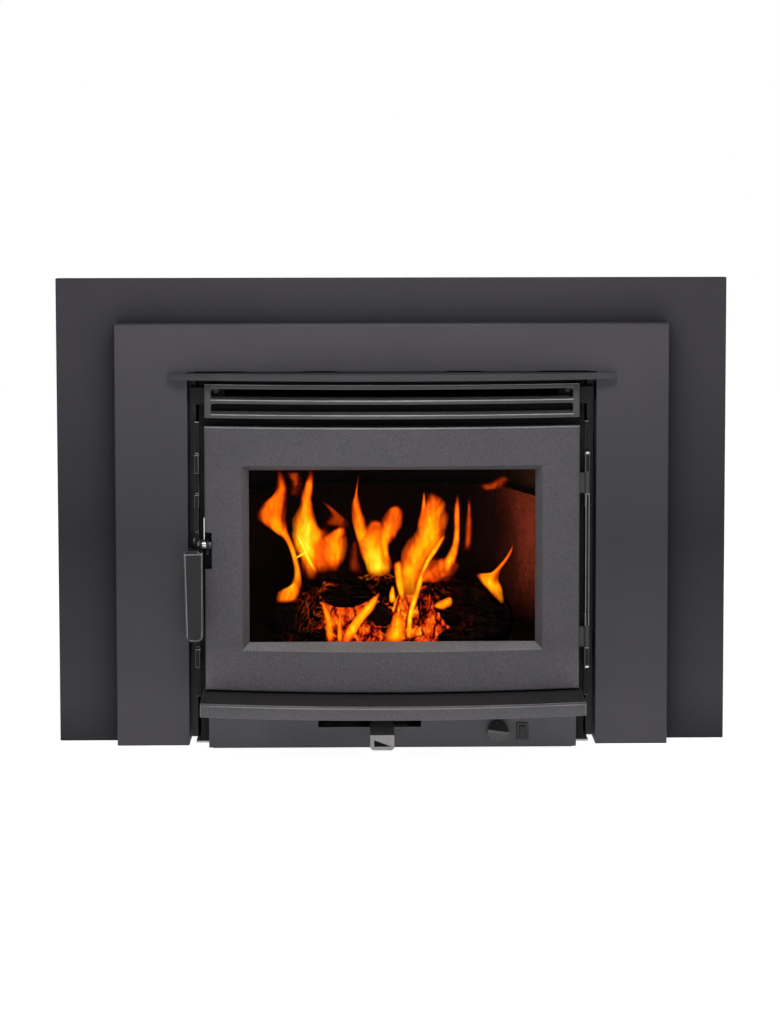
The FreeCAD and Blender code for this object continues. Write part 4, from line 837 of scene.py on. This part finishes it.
chunkShapes = [
    {"name": "chunkLeft", "y": 0, "deep": 34, "sag": 6, "warm": 0.5,
     "left": [(25.6, -2), (26.6, 8), (25.8, 16), (24.8, 23)],
     "right": [(35, -2), (37, 8), (41.5, 18), (45.6, 28)]},
    {"name": "chunkMiddle", "y": -2, "deep": 36, "sag": 0, "warm": 0.72,
     "left": [(46, -2), (48, 8), (49, 17), (52, 27)],
     "right": [(61.5, -2), (60.4, 8), (59, 18), (58, 27)]},
    {"name": "chunkRight", "y": -4, "deep": 30, "sag": -2, "warm": 0.44,
     "left": [(61.2, -2), (61, 6), (60.6, 13), (62.4, 19)],
     "right": [(69.6, -2), (70, 5), (68.4, 11), (65.6, 18)]},
    {"name": "chunkFoot", "y": -8, "deep": 26, "sag": 1, "warm": 0.36,
     "left": [(34, -2), (36, 3), (38.5, 8), (41, 11)],
     "right": [(47.4, -2), (48, 3), (48, 7), (46.4, 10.6)]},
    {"name": "chunkKnot", "y": -8, "deep": 30, "sag": -2, "warm": -0.12,
     "left": [(42.6, 8), (41, 12), (41.4, 17), (43.6, 21)],
     "right": [(47, 8), (49.6, 11.5), (50, 16), (48.2, 21)]},
    {"name": "chunkRear", "y": 14, "deep": 30, "sag": -2, "warm": 0.14,
     "left": [(56, 12), (55.6, 19), (57, 25), (58.4, 30)],
     "right": [(64.6, 12), (65.8, 18), (66.4, 24), (64.6, 30)]},
]
chunkForm = {"rows": 40, "columns": 28, "raggedSize": (2.3, 3.0), "raggedShift": (1.1, 0.8), "foot": 0.08,
             "plump": (0.5, 0.22), "uvSize": 2.2}


def chunkPoint(shape, t, s):
    f = chunkForm
    u, v = sheetSpot(shape, t, s)
    v -= shape["sag"] * t * math.sin(math.pi * s)
    ragged = noise.noise(Vector((u / f["raggedSize"][0], v / f["raggedSize"][1], shape["deep"])))
    rise = math.sin(math.pi * (f["foot"] + (1 - f["foot"]) * t))
    dome = math.sqrt(math.sin(math.pi * s) * rise + 0.0001)  # never below zero at the rim
    bulge = shape["deep"] * dome * (f["plump"][0] + f["plump"][1] * ragged)
    return (u + f["raggedShift"][0] * ragged, v + f["raggedShift"][1] * ragged), bulge


def chunkPiece(shape):
    f = chunkForm
    rows, columns = f["rows"], f["columns"]
    bm = bmesh.new()
    layer = bm.loops.layers.uv.new("UVMap")
    warm = bm.verts.layers.float.new("warmth")
    sides = {}
    spots = {}
    for i in range(rows + 1):
        for k in range(columns + 1):
            spots[i, k], bulge = chunkPoint(shape, i / rows, k / columns)
            border = i in (0, rows) or k in (0, columns)
            for way in (-1, 1):
                if border and way == 1:  # front and back share the rim
                    sides[way, i, k] = sides[-1, i, k]
                    continue
                made = bm.verts.new(fireSpot(*spots[i, k], shape["y"] + (0 if border else way * bulge)) * mm)
                made[warm] = shape["warm"]
                sides[way, i, k] = made
    for way in (-1, 1):
        for i in range(rows):
            for k in range(columns):
                ring = ((i, k), (i, k + 1), (i + 1, k + 1), (i + 1, k))
                face = bm.faces.new([sides[way, a, b] for a, b in ring])
                for corner, spot in zip(face.loops, ring):
                    corner[layer].uv = [at / f["uvSize"] for at in spots[spot]]
    build(shape["name"], bm, glowing, "insert", (), 60)


for shape in chunkShapes:
    chunkPiece(shape)

flameShapes = [
    {"y": -20, "heat": (0.65, 0.7, 0.68, 0.5, 0.42, 0.42, 0.4),
     "left": [(9, 24), (14.8, 36), (14.6, 48), (11.4, 60),
              (2.3, 72.4), (4.2, 80.5), (8.7, 88), (9.1, 101)],
     "right": [(17.2, 26), (17.9, 36), (16.5, 50), (14.1, 61.5),
               (12.7, 72), (13.1, 82), (13.1, 91), (11.2, 101)]},
    {"y": -17, "heat": (0.55, 0.72, 0.9, 0.85, 0.7, 0.5, 0.42, 0.4),
     "left": [(19.2, 36), (17.2, 48), (14.1, 61.5), (13.8, 68.4),
              (16.2, 77.6), (17.2, 87), (19.2, 95), (20.6, 101)],
     "right": [(24, 36), (23, 45.4), (24, 54.6), (26, 62.6),
               (23.3, 70.7), (22.3, 82), (22.6, 91), (22.6, 101)]},
    {"y": -12, "heat": (0.6, 0.66, 0.56, 0.46, 0.4),
     "left": [(27, 41), (23.8, 50), (22.6, 59), (26.5, 63), (31.6, 68)],
     "right": [(31.5, 41), (34, 51), (35.4, 58), (34.7, 63), (33.6, 68)]},
    {"y": -10, "heat": (0.85, 0.8, 0.68, 0.5, 0.42, 0.34, 0.25),
     "left": [(43.8, 37.4), (41, 48), (37.6, 59), (35.9, 71), (35.7, 80), (36.9, 88), (38, 98)],
     "right": [(47.2, 37.4), (44.4, 50), (42.1, 59), (40.7, 71), (38.9, 80), (37.8, 88), (38.6, 98)]},
    {"y": -6, "heat": (0.75, 0.65, 0.52, 0.42, 0.36, 0.3),
     "left": [(47.2, 38.5), (46.1, 50), (44.4, 61.5), (45.8, 71), (48.5, 77.6), (51.3, 80.5)],
     "right": [(50.6, 43), (48.9, 52), (50.2, 59), (54.3, 67), (54, 75), (52.6, 79.3)]},
    {"y": 0, "heat": (0.55, 0.48, 0.4, 0.34),
     "left": [(42, 46), (40.2, 56), (40.2, 65), (42.4, 72)],
     "right": [(50, 46), (49, 56), (48, 65), (46, 71)]},
    {"y": -14, "heat": (0.85, 0.85, 0.68, 0.5),
     "left": [(41.7, 37.4), (40.4, 45.4), (38.3, 53.4), (37.4, 57.5)],
     "right": [(49.2, 38.5), (48.5, 47.7), (47.2, 57), (45.3, 72.4)]},
    {"y": -20, "heat": (0.7, 0.68, 0.6, 0.56, 0.56, 0.5, 0.42),
     "left": [(53.8, 20), (51.4, 37), (52, 49), (54, 57), (57.4, 65), (60.1, 76.4), (61.8, 87)],
     "right": [(58.6, 22), (61.6, 41), (66.3, 53.4), (69.7, 61.5), (70.3, 73), (69, 83.3), (64.9, 88)]},
    {"y": -22, "heat": (0.5, 0.5, 0.42),
     "left": [(58.4, 66), (60, 77), (61, 88)], "right": [(63.4, 66), (62.4, 77), (61.4, 88)]},
    {"y": 100, "heat": (0.2, 0.24, 0.16),
     "left": [(74.6, 52), (75.4, 66), (76.8, 84)], "right": [(77.8, 52), (78.6, 66), (77.6, 84)]},
    {"y": 100, "heat": (0.14, 0.2, 0.16),
     "left": [(24.4, 68), (27, 76), (24, 84)], "right": [(33.4, 66), (34.6, 70), (28, 80)]},
    {"y": 100, "heat": (0.12, 0.2, 0.14),
     "left": [(12.6, 86), (13.6, 93), (12.4, 100)], "right": [(17.6, 84), (18.4, 92), (17.6, 100)]},
    {"y": 100, "heat": (0.05, 0.1, 0.06),
     "left": [(33.6, 40), (34.2, 50), (36.4, 60)], "right": [(40.4, 38), (38.6, 50), (37.2, 60)]},
    {"y": 100, "heat": (0.12, 0.16, 0.1),
     "left": [(80, 92), (85, 94), (89, 98)], "right": [(82, 87), (88, 89), (92.4, 95)]},
    {"y": -27, "heat": (0.84, 0.82, 0.66, 0.48),
     "left": [(57.4, 30.5), (61.1, 45.4), (64.9, 55.7), (68, 62.6)],
     "right": [(59.1, 30.5), (63.2, 45.4), (66.6, 54.6), (69, 62.1)]},
    {"y": -9, "heat": (0.45, 0.6, 0.65, 0.58, 0.5, 0.3),
     "left": [(64.2, 47.7), (68.3, 49), (70.7, 55.7), (71.4, 65), (71.7, 76.4), (72.7, 87)],
     "right": [(64.9, 37.4), (70.3, 41), (73.1, 50), (74.1, 59), (74.1, 73), (73.6, 85.6)]},
    {"y": -28, "heat": (0.9, 0.85, 0.6, 0.5, 0.45, 0.4, 0.35),
     "left": [(88.8, 21), (84.7, 28), (79.9, 38.5), (84.7, 39.7), (88.1, 45.4), (90.8, 51), (92.5, 57)],
     "right": [(89.6, 22.4), (88.8, 30.5), (87.5, 36.2), (88.8, 42.5),
               (91.1, 47.7), (92.6, 53), (93, 57.5)]},
    {"y": -24, "heat": (0.78, 0.88, 0.88, 0.8, 0.6),
     "left": [(54.3, 0), (55.4, 15.5), (56.7, 24.7), (58.4, 34), (60.5, 43)],
     "right": [(57.1, 0), (57.4, 14.4), (59.1, 23.6), (60.5, 31.6), (61.8, 42)]},
    {"y": -24, "heat": (0.66, 0.62, 0.42),
     "left": [(26.7, -2), (26, 9.8), (24.7, 22.4)], "right": [(29.4, -2), (28.8, 13.2), (25.4, 24.7)]},
    {"y": -22, "heat": (0.58, 0.54, 0.4),
     "left": [(30.1, -2), (30.5, 9.8), (31.2, 19)], "right": [(32.5, -2), (32.2, 9.8), (31.8, 19)]},
    {"y": -26, "heat": (0.6, 0.72, 0.68, 0.5),
     "left": [(30.8, -2), (35.6, 11), (40.4, 21.3), (44.4, 27)],
     "right": [(34.9, -2), (39, 9.8), (43.8, 19.5), (45.9, 29.3)]},
    {"y": -25, "heat": (0.72, 0.62, 0.48),
     "left": [(46.5, -2), (48.5, 9.8), (51.3, 17.8)], "right": [(54.7, -2), (54.7, 8.6), (53, 17.2)]},
    {"y": 20, "heat": (0.8, 0.7, 0.5),
     "left": [(48.9, 22), (48.9, 27), (49.8, 32.2)], "right": [(51.3, 22), (51.1, 27), (50.3, 32.2)]},
    {"y": 0, "heat": (0.5, 0.6, 0.45),
     "left": [(64.2, 19.5), (66.3, 23), (70.3, 26)], "right": [(67.6, 17.6), (70.7, 20), (71.2, 24.7)]},
    {"y": -21, "heat": (0.84, 0.74, 0.5),
     "left": [(52.6, 24), (50.9, 36.2), (50.2, 46)], "right": [(54.3, 24), (54, 36.2), (53.3, 48)]},
    {"y": -26, "heat": (0.5, 0.6, 0.6),
     "left": [(8.9, 22), (9.3, 28.7), (13.8, 32)], "right": [(16.8, 23), (17.2, 29.3), (16.5, 37)]},
    {"y": -23, "heat": (0.8, 1.0, 0.85),
     "left": [(15.1, 49), (19.2, 53), (22.6, 54.8)], "right": [(15.3, 47.5), (19.4, 51.2), (23, 53.2)]},
    {"y": 6, "heat": (0.26, 0.34, 0.3, 0.24),
     "left": [(18, 38), (17, 48), (18, 58), (21, 66)],
     "right": [(31, 40), (31, 50), (29, 60), (27, 68)]},
    {"y": 8, "heat": (0.3, 0.36, 0.3),
     "left": [(51, 34), (55, 40), (63, 50)], "right": [(66, 33), (72, 38), (74, 47)]},
    {"y": -25, "heat": (0.75, 1.0, 0.95, 0.7),
     "left": [(22.4, 40), (19.6, 48), (17.4, 56), (15.4, 64)],
     "right": [(23.8, 40), (21, 48.6), (19, 57), (16.6, 64)]},
]
flameForm = {"rows": 34, "columns": 10, "belly": 5, "sway": 5, "waves": 5}


def flameSheets():
    g = flameForm
    rows, columns = g["rows"], g["columns"]
    bm = bmesh.new()
    layer = bm.loops.layers.uv.new("UVMap")
    warm = bm.verts.layers.float.new("warmth")
    for f in flameShapes:
        grid = []
        for i in range(rows + 1):
            t = i / rows
            heat = curveAt([(h,) for h in f["heat"]], t)[0]
            line = []
            for k in range(columns + 1):
                s = k / columns
                depth = f["y"] - g["belly"] * math.sin(math.pi * s) + g["sway"] * math.sin(t * g["waves"])
                made = bm.verts.new(fireSpot(*sheetSpot(f, t, s), depth) * mm)
                made[warm] = heat
                line.append(made)
            grid.append(line)
        for i in range(rows):
            for k in range(columns):
                ring = ((k, i), (k + 1, i), (k + 1, i + 1), (k, i + 1))
                face = bm.faces.new([grid[b][a] for a, b in ring])
                for corner, (a, b) in zip(face.loops, ring):
                    corner[layer].uv = (a / columns, b / rows)
    build("flames", bm, flames, "insert", (), 180)


flameSheets()
print("fire made")

floorSet = {"size": 6.0, "drop": -0.0005, "glow": (0.7, 0.9)}


def makeFloor():
    mat = finish("floorMat", (0.9, 0.9, 0.9), 0.9, grain=900, depth=0.0, mottle=0.0)
    shader = mat.node_tree.nodes["Principled BSDF"]
    seen = addNode(mat, "ShaderNodeLightPath").outputs["Is Camera Ray"]
    feed(mat, shader.inputs["Emission Color"], (1, 1, 1, 1))
    feed(mat, shader.inputs["Emission Strength"], spread(mat, seen, 0, 1, *floorSet["glow"]))
    bm = bmesh.new()
    bmesh.ops.create_grid(bm, x_segments=1, y_segments=1, size=floorSet["size"])
    for v in bm.verts:
        v.co.z = floorSet["drop"]
    mesh = bpy.data.meshes.new("floor")
    bm.to_mesh(mesh)
    bm.free()
    mesh.materials.append(mat)
    floor = bpy.data.objects.new("floor", mesh)
    scene.collection.objects.link(floor)


def makeWorld():
    world = bpy.data.worlds.new("studio")
    scene.world = world
    world.use_nodes = True
    world.node_tree.nodes.clear()
    seen = addNode(world, "ShaderNodeBackground", Color=(1, 1, 1, 1), Strength=1.0)
    ambient = addNode(world, "ShaderNodeBackground", Color=(1, 1, 1, 1), Strength=0.15)
    direct = addNode(world, "ShaderNodeLightPath").outputs["Is Camera Ray"]
    mixed(world, direct, ambient.outputs["Background"], seen.outputs["Background"], "ShaderNodeOutputWorld")


makeFloor()
makeWorld()

lampSet = [
    {"name": "keyLeft", "place": (-3.0, -2.3, 1.5), "target": (0, 0, 0.35), "power": 3.6, "size": (1.4, 1.8)},
    {"name": "keyRight", "place": (3.0, -2.3, 1.5), "target": (0, 0, 0.35), "power": 8.2, "size": (1.4, 1.8)},
    {"name": "overhead", "place": (0, -0.85, 1.6), "target": (0, 0, 0.35), "power": 14, "size": (0.9, 0.4)},
    {"name": "frontFill", "place": (0, -4.2, 0.35), "target": (0, 0, 0.2), "power": 17, "size": (2.4, 0.5)},
    {"name": "fireGlow", "place": (0.1, 0.06, 0.3), "target": (0.3, 0.2, 0.31), "power": 1.1,
     "size": (0.14, 0.14), "colour": (1, 0.42, 0.2), "cone": 80},
]


def lamp(shape):
    data = bpy.data.lights.new(shape["name"], "AREA")
    data.energy = shape["power"]
    data.color = shape.get("colour", (1, 1, 1))
    data.shape = "RECTANGLE"
    data.size, data.size_y = shape["size"]
    data.spread = math.radians(shape.get("cone", 180))
    made = bpy.data.objects.new(shape["name"], data)
    scene.collection.objects.link(made)
    made.location = shape["place"]
    ahead = Vector(shape["target"]) - Vector(shape["place"])
    made.rotation_euler = ahead.to_track_quat("-Z", "Y").to_euler()


for shape in lampSet:
    lamp(shape)
print("lights made")


def makeCamera():
    c = cameraSet
    data = bpy.data.cameras.new("camera")
    data.lens = c["lens"]
    data.sensor_width = c["sensor"]
    data.shift_y = c["shiftY"]
    made = bpy.data.objects.new("camera", data)
    scene.collection.objects.link(made)
    level = math.cos(c["tilt"])
    ahead = Vector((math.sin(c["yaw"]) * level, math.cos(c["yaw"]) * level, -math.sin(c["tilt"])))
    right = Vector((math.cos(c["yaw"]), -math.sin(c["yaw"]), 0))
    across = right * math.cos(c["roll"]) + right.cross(ahead) * math.sin(c["roll"])
    turn = Matrix((across, across.cross(ahead), -ahead)).transposed()
    made.matrix_world = Matrix.Translation(c["place"]) @ turn.to_4x4()
    scene.camera = made


makeCamera()
scene.view_settings.view_transform = "Standard"
print("camera made")
